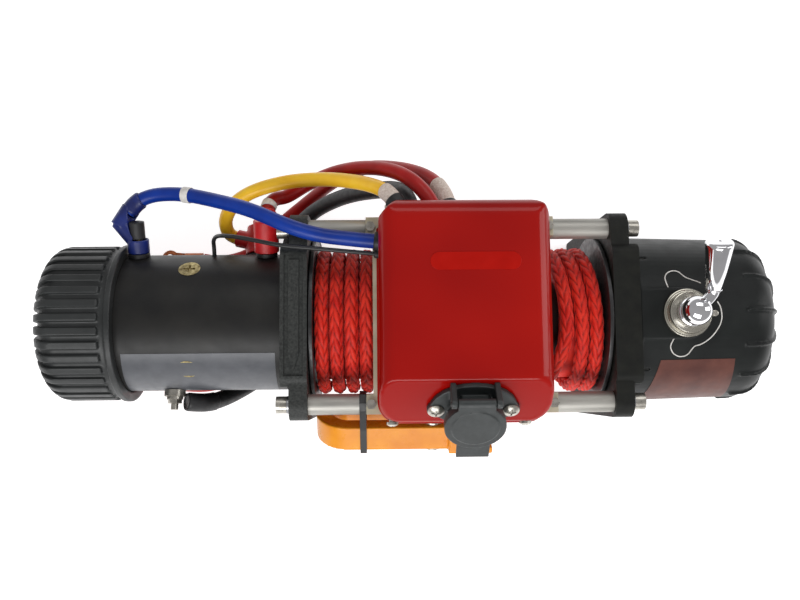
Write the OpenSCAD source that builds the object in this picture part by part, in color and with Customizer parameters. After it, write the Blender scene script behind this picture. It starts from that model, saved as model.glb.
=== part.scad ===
// Electric recovery winch: series wound motor on the left, rope drum in the middle, planetary
// gearbox on the right, with its control box carried over the drum on two tie bars.
// The origin is the centre of the four mounting bolts, on the mounting face, with +Z up,
// +X along the drum towards the gearbox and -Y to the side where the rope is led off.

/* [Layout] */
// Height of the drum axis above the mounting face
axis_z = 90; // [88:1:100]
// Mounting bolts, distance along the drum
bolt_x = 254; // [248:1:262]
// Mounting bolts, distance across the drum
bolt_y = 114.3; // [110:0.1:118]
// Clearance hole of a mounting bolt
bolt_hole_d = 11; // [10.5:0.5:12]

/* [Drum supports] */
// Thickness of a drum support at its middle and its feet
support_t = 20.5; // [19:0.5:22]
// Thickness of the side lugs that take the tie bars
lug_t = 14; // [12:0.5:16]
// Width across the drum
support_w = 159; // [156:1:164]
// Width of the thick middle
boss_w = 108; // [104:1:112]
// Height of the thick middle over the drum axis
boss_rise = 66; // [64:1:68]
// Height of a foot
foot_h = 27; // [25:1:32]

/* [Tie bars] */
// Diameter of a tie bar
bar_d = 16; // [14:1:18]
// Distance of a tie bar from the drum axis, across
bar_y = 67.5; // [67:0.5:69]
// Height of a tie bar over the drum axis
bar_rise = 50; // [49:1:53]
// Thread of the tie bar screws
bar_screw_d = 8; // [6:1:8]

/* [Drum] */
// Diameter of the drum flanges
flange_d = 136; // [130:1:140]
// Thickness of a drum flange
flange_t = 3; // [2.5:0.5:4]
// Diameter of the drum barrel
barrel_d = 64; // [60:1:66]
// Diameter of the drum journals
journal_d = 58; // [56:1:58]
// Bore of the drum
drum_bore_d = 50; // [48:1:50]
// Diameter of the rope
rope_d = 11; // [10:0.5:12]
// Radius over the wound rope
wound_r = 60; // [58:1:61]

/* [Motor] */
// Diameter of the motor tube
motor_d = 112; // [108:1:112]
// Length of the motor tube
motor_len = 136; // [132:1:140]
// Wall of the motor tube
motor_wall = 4; // [3:0.5:4.5]
// Diameter over the ribs of the end cap
cap_d = 126.8; // [126:0.2:130]
// Length of the end cap
cap_len = 62; // [58:1:68]
// Number of ribs round the end cap
cap_ribs = 36; // [30:2:40]
// Diameter of the armature core
armature_d = 79; // [76:1:80]
// Diameter of the motor shaft
shaft_d = 16; // [14:1:17]

/* [Gearbox] */
// Diameter of the gear housing at the drum support
gear_d = 135.6; // [134:0.2:140]
// Diameter of the gear housing where its end starts to round over
gear_end_d = 131; // [129:0.5:133]
// Length of the gear housing
gear_len = 122; // [118:1:128]
// Module of the final gear stage
gear_module = 2.5; // [2.4:0.05:2.5]
// Face width of the final gear stage
gear_face = 20; // [16:1:21]
// Diameter of the clutch collar
collar_d = 32; // [30:1:34]
// Lift of the clutch pin when the lever is turned
pin_lift = 6.5; // [6:0.5:7]

/* [Control box] */
// Length of the cover along the drum
box_len = 125; // [120:1:127]
// Depth of the cover across the drum
box_depth = 161; // [156:1:166]
// Height of the cover
box_h = 45.5; // [44:0.5:50]
// Wall of the cover
box_wall = 3; // [2:0.5:4]
// Slope of the front of the cover that carries the socket
slope_angle = 47; // [44:1:50]
// Diameter of the socket cap
socket_cap_d = 44; // [40:1:46]

/* [Hook] */
// Thickness of the hook
hook_t = 20; // [16:1:22]
// Outer radius of the hook's bowl
bowl_r = 26; // [24:1:28]
// Diameter of the clevis pin
clevis_pin_d = 12; // [10:1:13]

/* [Leads] */
// Diameter of the motor leads and the battery lead
lead_d = 11.5; // [10:0.5:12]
// Diameter of the sleeved earth lead
earth_d = 14; // [12:0.5:14]
// Diameter of the thin sensor wire
wire_d = 3.5; // [3:0.5:4.5]

/* [Hidden] */
$fn = 72;
// overrun of every cut, gaps between pieces that touch, and running fits
over = 1;
gap = 0.3;
fit = 0.05;
seat = 0.15;
// teeth of the final stage: sun, planets and ring
sun_teeth = 12;
planet_teeth = 15;
ring_teeth = sun_teeth + 2 * planet_teeth;
sun_pitch_r = gear_module * sun_teeth / 2;
planet_pitch_r = gear_module * planet_teeth / 2;
ring_pitch_r = gear_module * ring_teeth / 2;
planet_orbit = sun_pitch_r + planet_pitch_r;
pressure_angle = 25;
planet_count = 3;
first_planet = 90;
addendum_share = 0.95;
dedendum_share = 1.25;
backlash_share = 0.06;
flank_shares = [0.25, 0.5, 0.75, 1];
// places along the drum
inner_x = bolt_x / 2 - support_t / 2;
outer_x = inner_x + support_t;
// drum
flange_gap = 1;
flange_out_x = inner_x - flange_gap;
flange_in_x = flange_out_x - flange_t;
journal_gap = 2;
journal_x = outer_x - journal_gap;
bush_wall = 3;
bush_flange_t = 0.7;
// drum supports
lug_r = 12.5;
base_r = 3;
boss_r = 8;
arch_w = 60;
arch_h = 16;
pocket_w = 18;
pocket_h = 9;
pocket_z = 12;
bush_flange_d = 76;
panel_depth = 1.6;
panel_edge = 3;
panel_len = 92;
arrow_w = 8;
arrow_len = 84;
arrow_head = 12;
// tie bars
bar_z = axis_z + bar_rise;
screw_head_d = 13;
screw_head_h = 8;
screw_hex = 6.9;
screw_hex_depth = 4;
screw_grip = 18;
washer_t = 2.4;
washer_d = 13.4;
washer_slit = 1.5;
washer_slit_angle = 30;
// motor, from the support to the left
motor_r = motor_d / 2;
motor_end_x = -outer_x - motor_len;
through_d = 6;
through_y = 47.5;
through_grip = 14;
through_head_d = 9;
through_head_h = 5;
drive_wall = 9;
end_bell_t = 10;
end_boss_d = 34;
end_boss_len = 11;
bush_d = 24;
pole_arc = 58;
pole_gap = 0.8;
pole_len = 70;
pole_x = -211.5;
pole_face_r = armature_d / 2 + pole_gap;
coil_gap = 0.6;
coil_slack = 3;
coil_side = 5;
coil_arc = 78;
pole_screw_d = 17;
pole_screw_shank = 8;
pole_screw_head = 3.2;
pole_screw_len = 12;
pole_screw_sink = 0.2;
pole_cross = 9;
pole_cross_w = 1.6;
pole_cross_depth = 1.4;
winding_end_share = 0.84;
commutator_share = 0.56;
commutator_len = 17;
commutator_x = motor_end_x + 2.2;
commutator_r = armature_d * commutator_share / 2;
brush_inset = 2.5;
brush_foot = 2;
brush_lift = 2;
brush_plate_t = 3;
brush_w = 10;
brush_h = 13;
brush_len = 14;
brush_box_wall = 1.5;
core_slots = 18;
core_slot_w = 3;
core_slot_depth = 9;
shaft_end = 18;
shaft_x = motor_end_x - end_bell_t - end_boss_len + over;
shaft_len = shaft_end - outer_x - shaft_x;
// motor end cap
cap_over = 8;
cap_valley = 2.6;
cap_round = 15;
cap_rim_len = 5;
cap_rim_rise = 1.1;
cap_rim_gap = 5;
cap_rib_share = 0.55;
cap_rib_reach = 20;
cap_cavity = cap_over + end_bell_t + gap;
cap_hollow_d = 108;
cap_hollow_wall = 6;
cap_screw_head_d = 13;
cap_screw_head_h = 8;
cap_screw_d = 8;
cap_screw_hole_d = cap_screw_d + 2 * fit;
cap_r = cap_d / 2;
cap_screw_y = 30;
cap_rim_x = motor_end_x + cap_over;
cap_end_x = cap_rim_x - cap_len;
// terminals on the motor: place along the tube and angle above the level, to the rear
stud_d = 6;
stud_len = 26;
insulator_d = 17;
insulator_h = 3.5;
insulator_neck_d = 11;
insulator_dip = 2;
stud_inside = 3;
stud_cap_d = 12;
stud_cap_len = 25;
nut_af = 10;
nut_h = 3.2;
blue_stud_x = -256;
red_stud_x = -153;
yellow_stud_x = -166;
stud_angle = 22;
yellow_stud_angle = -14;
terminals = [[blue_stud_x, stud_angle], [red_stud_x, stud_angle], [yellow_stud_x, yellow_stud_angle]];
wire_hole_x = -196;
wire_hole_angle = 20;
earth_stud_x = -228.5;
earth_stud_angle = 172;
earth_spacer_d = 17;
earth_spacer_h = 5;
earth_stud_len = 16;
lug_plate_t = 2.5;
lug_plate_w = 13;
boot_d = 20;
boot_len = 26;
boot_sleeve_d = 15;
boot_lap = 3;
boot_grip = 6;
blue_boot_len = 11;
blue_boot_d = 17;
// drive line and brake
hex_d = 12;
coupling_gap = 0.3;
coupling_d = 28;
coupling_len = 34;
brake_x = -10;
brake_len = 46;
brake_hub_d = 32;
brake_pad_arc = 150;
drive_end_x = outer_x + 64;
// gearbox, from the support to the right
carrier_x = outer_x + journal_gap;
carrier_disc_t = 5;
carrier_d = 84;
carrier_gap = 0.5;
carrier_spigot_len = 20;
planet_pin_d = 10;
gear_x = carrier_x + carrier_disc_t + carrier_gap;
ring_teeth_len = 26;
carrier_end_x = gear_x + gear_face + carrier_gap;
sun_hub_d = 18;
sun_bore_d = 14;
carrier_bore_d = 26;
ring_d = 120;
ring_x = carrier_x + 2;
ring_len = 36;
ring_relief_d = 112;
lock_x = 172;
lock_hole_d = 9;
lock_holes = 12;
stage_x = ring_x + ring_len + 3;
stage_len = 50;
stage_d = 118;
stage_step_d = 96;
stage_step_len = 8;
stage_bore_len = 13;
housing_floor_x = stage_x + stage_len + gap;
housing_bore_d = 121;
dome_len = 34;
dome_corner_r = 22;
dome_corner_c = gear_end_d / 2 - dome_corner_r;
dome_crown_r = (dome_corner_c * dome_corner_c + dome_len * dome_len - dome_corner_r * dome_corner_r)
    / (2 * (dome_len - dome_corner_r));
gear_end_x = outer_x + gear_len;
gear_round_x = gear_end_x - dome_len;
gear_ribs = 15;
gear_rib_first = -7.5;
gear_rib_in = 20;
gear_rib_w = 2;
gear_rib_rise = 2;
gear_rib_len = 40;
gear_screw_d = 6;
gear_screw_r = 64.2;
gear_screw_angles = [50, 130, 230, 310];
gear_screw_head_d = 10;
gear_screw_head_h = 6;
gear_screw_len = 30;
// clutch
boss_top = 66;
clutch_boss_w = 38;
clutch_y = -1;
seal_h = 2.5;
seal_d = 37;
collar_h = 6.5;
collar_bore_d = 17;
chamber_floor = 62;
pin_d = 8;
pin_reach = 54.6;
pin_shoulder_d = 14.6;
pin_shoulder_t = 1.5;
hub_base_d = 22;
hub_base_h = 4;
hub_ball_d = 22;
hub_ball_rise = 11;
pin_top = 9;
hub_roof = pin_top + pin_lift + 2 * over;
pin_end_rise = boss_top + seal_h + collar_h + gap + pin_top;
spring_wire = 1;
spring_curls = 2;
spring_rings = 8;
spring_d = 12.4;
arm_d = 9;
grip_len = 38;
grip_start_d = 12;
grip_end_d = 20;
grip_round_share = 0.8;
grip_start = 3;
grip_crown = 2.5;
arm_from = [172, -1, 176.3];
arm_to = [183, 11, 180];
grip_to = [179.5, 46.4, 205];
collar_z = axis_z + boss_top + seal_h;

hub_z = collar_z + collar_h + gap;
// control box
base_z = axis_z + 60.5;
plate_t = 2.5;
box_z = base_z + plate_t;
box_round = 15;
box_top_round = 13;
box_corner_cut = 9;
slope_start = -50;
lip_t = 1.5;
lip_h = 3;
plate_inset = 1;
strip_w = 14;
strip_x = 60;
bracket_foot_w = 15;
bracket_foot_x = 64.7;
bolt_head_d = 7;
bolt_head_h = 3.5;
bracket_bolt_d = 5;
bracket_bolt_len = 12;
bracket_bolt_x = 68.6;
cover_screw_d = 5;
cover_screw_head_d = 9;
cover_screw_head_h = 3.5;
cover_screw_left_x = -53;
cover_screw_right_x = 45.5;
cover_screw_len = 8;
pan_share = 0.75;
cross_share = 0.28;
cross_w = 1.2;
cover_screw_z = 7.5;
contactor_len = 88;
contactor_w = 56;
contactor_h = 30;
contactor_y = 14;
contactor_round = 6;
terminal_d = 8;
terminal_h = 8;
terminal_pitch = 22;
// remote socket on the slope
socket_x = 5;
socket_y = -69;
socket_flange_d = 34;
socket_ear_d = 13;
socket_ear_x = 27;
socket_flange_t = 4;
ear_share = 0.3;
flange_arch_w = 32;
flange_arch_h = 25;
flange_arch_step = 15;
socket_neck_af = 32.5;
socket_neck_len = 12;
socket_bore_d = 22;
socket_back_len = 14;
socket_back_d = 26;
socket_floor_t = 3;
socket_screw_d = 12;
socket_screw_h = 3.2;
socket_pin_d = 3;
socket_pin_len = 12;
socket_pins = 4;
socket_pin_pcd = 12;
cap_t = 4.5;
cap_seat = socket_flange_t + socket_neck_len + gap;
cap_skirt_t = 2;
cap_skirt_h = 2.4;
cap_disc_d = 34;
cap_disc_h = 0.8;
tab_w = 24;
tab_len = 12;
tab_t = 3;
cap_ear_w = 26;
cap_pin_d = 3.5;
cap_hinge_gap = 0.6;
cap_hinge_v = 21.5;
lead_hole_len = 24;
cap_hinge_w = 17;
cap_ear_low = 12;
ear_t = 4;
cap_pin_len = 2 * ear_t + cap_ear_w + 2 * cap_hinge_gap + 1;
// hook, in its own plane: u along the drum, v from its tip to its shank
hook_x = -87;
hook_y = -82;
hook_z = 105;
hook_tilt = 120;
hook_yaw = 0;
bowl_inner_r = 13;
shank_w = 15;
shank_v = bowl_r - shank_w / 2;
shank_len = 85;
tip_len = 58;
tip_end_w = 6;
tip_rise = 5;
clevis_len = 34;
clevis_w = 24;
clevis_t = 23;
clevis_root = 7.5;
clevis_gap = 12;
clevis_pin_u = 95;
clevis_head_d = 17;
clevis_head_t = 4;
clevis_reach = 5;
cotter_d = 2.5;
cotter_len = 20;
latch_pin_d = 5;
latch_pin_u = 66;
latch_pin_v = 16;
latch_bridge = 12;
latch_reach = 25.3;
latch_root = 4;
latch_rest = 228;
latch_t = 2;
latch_tip_w = 9;
latch_ear = 8;
thimble_wall = 3;
thimble_w = 11;
thimble_len = 18;
thimble_turn = -60;
tie_w = 5;
tie_t = 1.5;
tie_head = 8;
tie_x = -75.2;
tie_way = [[-58.7, 140], [-61.2, 146.2], [-67.5, 148.8], [-73.5, 146.5], [-86.6, 133.3], [-104.8, 122.8],
    [-95.6, 106.9], [-85.6, 112.6], [-76.9, 117.6], [-61.5, 133.5]];
// leads and rope: sides and smoothing of a tube, and the points of each route
tube_sides = 10;
tube_steps = 3;
blue_route = [[-52, 54, 161], [-66, 55, 160.5], [-84, 57, 160], [-107, 60, 161], [-130, 67, 160.5],
    [-160, 81, 153], [-190, 92, 138], [-217, 99.5, 127], [-238, 101, 121.5], [-251, 98.5, 119],
    [-258.5, 93.5, 118.2], [-264.1, 86.2, 118.1]];
yellow_route = [[-44, 68, 173], [-48, 80, 173], [-57, 92, 167], [-71, 101, 153], [-90, 108, 137],
    [-110, 112, 125], [-134, 112, 118], [-156, 108, 114], [-172, 102.5, 109], [-184, 95, 101],
    [-190.5, 87, 91], [-191.5, 80.5, 82], [-189.5, 76.6, 75], [-184.5, 74.1, 72], [-180, 73, 72.4]];
red_route = [[-15, 62, 172], [-20, 76, 173], [-28, 90, 172], [-40, 103, 165], [-56, 113, 151],
    [-76, 119, 133], [-98, 120, 115], [-120, 114, 103], [-138, 104.5, 98.5], [-148, 101, 103],
    [-152.5, 94, 107.7], [-153, 83.5, 112.6]];
earth_route = [[-37, 64, 161], [-38, 80, 161], [-42, 93, 150], [-50, 102, 130], [-64, 107, 107],
    [-82, 110, 83], [-100, 110, 60], [-118, 106, 39], [-134, 97, 22], [-145, 82, 11], [-148.5, 60, 8.2],
    [-148.5, 30, 8.5], [-149, 5, 9], [-150.5, -12, 12], [-154.5, -26, 19], [-162, -38, 29.5],
    [-172, -48, 41], [-183, -56, 54.5], [-192, -61.5, 67.5], [-199.5, -64.8, 79], [-208, -66, 89.5],
    [-219.6, -65, 97.5]];
wire_route = [[-54, 45, 157.5], [-68, 46, 158.5], [-90, 48, 159], [-112, 50, 160], [-136, 52.5, 159.5],
    [-155, 57, 154.5], [-170, 61, 147.5], [-183, 64, 138], [-191, 65.5, 127], [-195.3, 64, 117],
    [-196, 58.9, 111.4], [-196, 49.3, 107.9]];
battery_route = [[-8, 66, 162], [-9, 80, 162], [-13, 94, 156], [-21, 107, 144], [-34, 117, 129],
    [-50, 125, 111], [-68, 131, 91], [-86, 132, 70], [-104, 128, 48], [-121, 121, 28], [-136, 113, 14],
    [-149, 104, 8], [-161, 93, 6.5], [-172, 80.5, 6], [-186, 70, 5.9], [-204, 64.5, 5.8],
    [-223.5, 63.9, 5.8]];
blue_boot_way = [[-261.5, 90.5, 118], [-269, 78, 118.3], [-256.5, 63, 115.5]];
red_boot_way = [[-153, 88, 110.5], [-153, 72, 118]];
yellow_boot_way = [[-184, 74, 72], [-168, 70, 73.5]];
tail_route = [[94, -35, 28], [84, -47, 33], [72, -57.5, 41], [60, -65.5, 51], [49.5, -70, 62],
    [40.5, -72, 73], [32.5, -74, 85], [26, -76.5, 94.5], [21.2, -79.8, 101.2], [17.2, -83.3, 107.2]];
// hank of the battery lead under the motor: two layers of loops with straight runs
hank_x = -252;
hank_y = 4;
hank_run = 56;
hank_fold = 3 * lead_d;
hank_loops = 2;
hank_rings = 24;
hank_gap = 0.6;
hank_pitch = lead_d + 1.2;
climb_share = 0.2;
run_share = 0.4;
ring_lug_len = 15;
ring_lug_bend = 30;
ring_barrel_len = 16;
ring_hole_d = 8.4;
ring_lug_w = 15;
ring_lug_t = 3;
// rope winding on the drum: rings and sides of a turn
turn_rings = 24;
turn_sides = 6;
turn_pitch = rope_d + 0.6;
right_turns = 3;
left_turns = 14;
turns = left_turns + right_turns;
turn_end_angle = 285;
turn_r = wound_r - rope_d / 2;
turn_start_x = rope_d / 2 + gap - flange_in_x;
step_share = 0.25;
long_step_share = 0.5;
core_x = 104;
core_left_end = 51;
core_right_start = 81;
right_lean = 6;
off_lean = -0.1;
off_len = 40;

// what a tube, a gear and a place on a curved piece are worked out from
function unit(v) = v / norm(v);
function carried(n, t) = unit(n - (n * t) * t);
function tangents(p) = [for (i = [0 : len(p) - 1])
    unit(p[min(i + 1, len(p) - 1)] - p[max(i - 1, 0)])];
function normals(t, first) = [for (i = 0, n = carried(first, t[0]);
    i < len(t);
    i = i + 1, n = i < len(t) ? carried(n, t[i]) : n) n];
function between_points(a, b, c, d, s) = 0.5 * (2 * b + (c - a) * s
    + (2 * a - 5 * b + 4 * c - d) * s * s + (3 * b - a - 3 * c + d) * s * s * s);
function smooth(p, steps) = concat([for (i = [0 : len(p) - 2], j = [0 : steps - 1])
    between_points(p[max(i - 1, 0)], p[i], p[i + 1], p[min(i + 2, len(p) - 1)], j / steps)],
    [p[len(p) - 1]]);
function ring_points(p, r, sides, first) =
    let (t = tangents(p), n = normals(t, first))
    [for (i = [0 : len(p) - 1]) let (b = cross(t[i], n[i]))
        for (k = [0 : sides - 1]) let (a = 360 * k / sides)
            p[i] + r * (cos(a) * n[i] + sin(a) * b)];
function tube_faces(rows, sides) = concat(
    [for (i = [1 : sides - 2]) [0, i, i + 1]],
    [for (i = [0 : rows - 2], k = [0 : sides - 1]) let (k2 = (k + 1) % sides)
        [i * sides + k, (i + 1) * sides + k, (i + 1) * sides + k2]],
    [for (i = [0 : rows - 2], k = [0 : sides - 1]) let (k2 = (k + 1) % sides)
        [i * sides + k, (i + 1) * sides + k2, i * sides + k2]],
    [for (i = [1 : sides - 2]) let (z = (rows - 1) * sides) [z, z + i + 1, z + i]]);
function polar(r, a) = r * [cos(a), sin(a)];
// half the angle of a gear tooth at radius r: base circle rb, half angle at the base hb
function flank_angle(r, rb, hb) = let (p = r > rb ? acos(rb / r) : 0)
    hb - (tan(p) * 180 / PI - p);
function tooth_points(teeth, m, top, root, slack) =
    let (pitch = m * teeth / 2,
        rb = pitch * cos(pressure_angle),
        hb = 90 / teeth + tan(pressure_angle) * 180 / PI - pressure_angle - slack * 180 / PI / pitch,
        low = max(rb, root),
        rows = concat([low], [for (s = flank_shares) low + (top - low) * s]))
    concat([[root, hb]], [for (r = rows) [r, flank_angle(r, rb, hb)]]);
// a gear with a tooth centred on angle zero; slack is what each flank is drawn in by
module gear(teeth, m, top, root, slack) {
    side = tooth_points(teeth, m, top, root, slack);
    count = len(side);
    polygon([for (i = [0 : teeth - 1]) let (a = 360 * i / teeth)
        for (j = [0 : 2 * count - 1])
            j < count ? polar(side[j][0], a - side[j][1])
                : polar(side[2 * count - 1 - j][0], a + side[2 * count - 1 - j][1])]);
}
module tube(points, r, sides = tube_sides, first = [0, 0, 1])
    polyhedron(ring_points(points, r, sides, first), tube_faces(len(points), sides));
// drawn in Y and Z about the drum axis, from x along the drum
module slab(x, t)
    translate([x, 0, axis_z]) rotate([90, 0, 90]) linear_extrude(t) children();
module rod(x, length, d)
    translate([x, 0, axis_z]) rotate([0, 90, 0]) cylinder(h = length, d = d);
module hex_rod(x, length, af)
    translate([x, 0, axis_z]) rotate([0, 90, 0]) cylinder(h = length, d = af / cos(30), $fn = 6);
// turned about the drum axis from an outline of radius and place along the drum
module turned() translate([0, 0, axis_z]) rotate([0, 90, 0]) rotate_extrude() children();
module sector(r_in, r_out, middle, arc) {
    far = 2 * r_out;
    intersection() {
        difference() {
            circle(r_out);
            circle(r_in);
        }
        polygon([[0, 0], polar(far, middle - arc / 2), polar(far, middle), polar(far, middle + arc / 2)]);
    }
}
module rounded(w, h, r) {
    square([w - 2 * r, h], center = true);
    square([w, h - 2 * r], center = true);
    for (sx = [-1, 1], sy = [-1, 1])
        translate([sx * (w / 2 - r), sy * (h / 2 - r)]) circle(r);
}
// upright outline of width w from height low to height high, with rounded upper corners
module arch(w, low, high, r) {
    translate([-w / 2, low]) square([w, high - r - low]);
    translate([-w / 2 + r, low]) square([w - 2 * r, high - low]);
    for (s = [-1, 1]) translate([s * (w / 2 - r), high - r]) circle(r);
}
// half of an outline of radius r_end whose far corner is rounded
module rounded_end(r_end, length, round_r) {
    square([r_end - round_r, length]);
    square([r_end, length - round_r]);
    translate([r_end - round_r, length - round_r]) circle(round_r);
}
// from p, with the local Z axis pointing to q
module aimed(p, q) {
    d = q - p;
    translate(p) rotate([0, acos(d[2] / norm(d)), atan2(d[1], d[0])]) children();
}
// on the motor tube: local Z points outwards at an angle from the rear, over the level
module on_motor(x, angle)
    translate([x, 0, axis_z]) rotate([angle, 0, 0]) translate([0, motor_r, 0]) rotate([-90, 0, 0]) children();
module on_slope()
    translate([socket_x, socket_y, slope_z(socket_y)]) rotate([slope_angle, 0, 0]) children();
module on_hook()
    translate([hook_x, hook_y, hook_z]) rotate([0, 0, hook_yaw]) rotate([hook_tilt, 0, 0]) children();

module ribbed_cap(r_end, length, round_r) {
    rib_w = 2 * PI * r_end / cap_ribs * cap_rib_share;
    intersection() {
        translate([cap_rim_x, 0, axis_z]) rotate([0, -90, 0]) rotate_extrude() rounded_end(r_end, length, round_r);
        slab(cap_end_x - over, cap_len - cap_rim_len - cap_rim_gap + over)
            for (i = [0 : cap_ribs - 1]) rotate(360 * i / cap_ribs)
                translate([r_end - cap_rib_reach, -rib_w / 2]) square([cap_rib_reach + over, rib_w]);
    }
}
module motor_end_cap() color([0.13, 0.14, 0.16]) difference() {
    union() {
        translate([cap_rim_x, 0, axis_z]) rotate([0, -90, 0]) rotate_extrude()
            rounded_end(cap_r - cap_valley, cap_len - cap_valley, cap_round);
        ribbed_cap(cap_r, cap_len, cap_round);
        rod(cap_rim_x - cap_rim_len, cap_rim_len, cap_d + 2 * cap_rim_rise);
    }
    rod(cap_rim_x - cap_cavity, cap_cavity + over, motor_d + 2 * seat);
    rod(cap_end_x + cap_hollow_wall, cap_len - cap_hollow_wall - cap_cavity + over, cap_hollow_d);
    for (s = [-1, 1])
        translate([0, s * cap_screw_y, 0]) rod(cap_end_x - over, cap_len + over, cap_screw_hole_d);
}
module motor_housing() color([0.09, 0.09, 0.1]) difference() {
    rod(motor_end_x, motor_len, motor_d);
    rod(motor_end_x - over, motor_len - drive_wall + over, motor_d - 2 * motor_wall);
    rod(motor_end_x, motor_len + over, bush_d + 2 * fit);
    for (k = [0 : 3]) on_motor(pole_x, 45 + 90 * k) {
        translate([0, 0, -pole_screw_head]) cylinder(h = pole_screw_head + over, d = pole_screw_d + 2 * seat);
        translate([0, 0, -motor_wall - over]) cylinder(h = motor_wall, d = pole_screw_shank + 2 * seat);
    }
    for (t = terminals) on_motor(t[0], t[1])
        translate([0, 0, -motor_wall - over]) cylinder(h = motor_wall + 2 * over, d = insulator_neck_d + 2 * seat);
    on_motor(earth_stud_x, earth_stud_angle)
        translate([0, 0, -motor_wall - over]) cylinder(h = motor_wall + 2 * over, d = stud_d + 2 * fit);
    for (s = [-1, 1])
        translate([0, s * through_y, 0]) rod(motor_end_x, motor_len + over, through_d + 2 * seat);
    wire_hole();
}
module wire_hole() on_motor(wire_hole_x, wire_hole_angle)
    translate([0, 0, -motor_wall - over]) cylinder(h = motor_wall + 2 * over, d = wire_d + 2 * gap);
module motor_end_bell() color("gray") difference() {
    union() {
        rod(motor_end_x - end_bell_t, end_bell_t, motor_d - 2 * seat);
        rod(motor_end_x - end_bell_t - end_boss_len, end_boss_len + over, end_boss_d);
    }
    rod(motor_end_x - end_bell_t - end_boss_len - over, end_bell_t + end_boss_len + 2 * over, bush_d + 2 * fit);
    for (s = [-1, 1]) {
        translate([0, s * through_y, 0])
            rod(motor_end_x - end_bell_t - over, end_bell_t + 2 * over, through_d + 2 * seat);
        translate([0, s * cap_screw_y, 0])
            rod(motor_end_x - end_bell_t - over, end_bell_t + 2 * over, cap_screw_d + 2 * fit);
    }
}
module end_screws() color("silver") for (s = [-1, 1]) {
    translate([0, s * through_y, 0]) {
        rod(motor_end_x - end_bell_t - through_head_h, through_head_h, through_head_d);
        rod(motor_end_x - end_bell_t - over, end_bell_t + motor_len + through_grip + over, through_d);
    }
    translate([0, s * cap_screw_y, 0]) {
        difference() {
            rod(cap_end_x - cap_screw_head_h, cap_screw_head_h, cap_screw_head_d);
            hex_rod(cap_end_x - cap_screw_head_h - over, cap_screw_head_h, cap_screw_d / 2);
        }
        rod(cap_end_x - over, motor_end_x - cap_end_x + over - gap, cap_screw_d);
    }
}
module pole_screws() color([0.72, 0.66, 0.45]) for (k = [0 : 3]) on_motor(pole_x, 45 + 90 * k) difference() {
    union() {
        translate([0, 0, -pole_screw_head + fit])
            cylinder(h = pole_screw_head - fit - pole_screw_sink, d1 = pole_screw_shank, d2 = pole_screw_d);
        translate([0, 0, -pole_screw_len]) cylinder(h = pole_screw_len - pole_screw_head + over, d = pole_screw_shank);
    }
    for (a = [0, 90]) rotate(a) translate([-pole_cross / 2, -pole_cross_w / 2, -pole_cross_depth])
        cube([pole_cross, pole_cross_w, pole_cross_depth + over]);
}
module pole_shoes() color("dimgray") difference() {
    slab(pole_x - pole_len / 2, pole_len) for (k = [0 : 3])
        sector(pole_face_r, motor_r - motor_wall - seat, 45 + 90 * k, pole_arc);
    for (k = [0 : 3]) on_motor(pole_x, 45 + 90 * k)
        translate([0, 0, -pole_screw_len - over]) cylinder(h = pole_screw_len, d = pole_screw_shank + 2 * fit);
}
module field_coils() color("peru") for (k = [0 : 3]) difference() {
    slab(pole_x - pole_len / 2 - coil_side, pole_len + 2 * coil_side)
        sector(pole_face_r + coil_gap, motor_r - motor_wall - coil_gap, 45 + 90 * k, coil_arc);
    slab(pole_x - pole_len / 2 - coil_gap / 2, pole_len + coil_gap)
        sector(pole_face_r - over, motor_r, 45 + 90 * k, pole_arc + coil_slack);
}
module armature() color("saddlebrown") {
    difference() {
        rod(pole_x - pole_len / 2, pole_len, armature_d);
        for (i = [0 : core_slots - 1])
            translate([pole_x - pole_len / 2 - over, 0, axis_z]) rotate([360 * i / core_slots, 0, 0])
                translate([0, -core_slot_w / 2, armature_d / 2 - core_slot_depth])
                    cube([pole_len + 2 * over, core_slot_w, core_slot_depth + over]);
    }
    rod(pole_x - pole_len / 2 - coil_side, pole_len + 2 * coil_side, armature_d * winding_end_share);
    rod(commutator_x, commutator_len, armature_d * commutator_share);
    rod(motor_end_x - end_bell_t - end_boss_len + over, shaft_len, shaft_d);
}
module brush_gear() color("burlywood") {
    difference() {
        rod(motor_end_x + fit, brush_plate_t, motor_d - 2 * motor_wall - 2 * seat);
        rod(motor_end_x - over, brush_plate_t + 2 * over, armature_d * commutator_share + 2 * over);
        for (s = [-1, 1]) translate([0, s * through_y, 0])
            rod(motor_end_x - over, brush_plate_t + 2 * over, through_d + 2 * seat);
    }
    for (k = [0 : 3]) translate([commutator_x + brush_inset, 0, axis_z]) rotate([45 + 90 * k, 0, 0])
        translate([0, commutator_r + gap, -brush_h / 2]) {
            cube([brush_w, brush_len, brush_h]);
            translate([-brush_foot, brush_lift, -brush_box_wall])
                cube([brush_foot + over, brush_len - brush_lift, brush_h + 2 * brush_box_wall]);
        }
}
module bush(x, length, d_in, d_out) difference() {
    rod(x, length, d_out);
    rod(x - over, length + 2 * over, d_in + 2 * fit);
}
module bronze_bushes() color("goldenrod") {
    bush(-outer_x - drive_wall, drive_wall, shaft_d, bush_d);
    bush(motor_end_x - end_bell_t - end_boss_len, end_bell_t + end_boss_len, shaft_d, bush_d);
    for (s = [-1, 1]) mirror([s < 0 ? 1 : 0, 0, 0]) {
        bush(inner_x, journal_x - inner_x, journal_d, journal_d + 2 * bush_wall);
        bush(inner_x - bush_flange_t, bush_flange_t, journal_d, bush_flange_d);
    }
}
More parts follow.
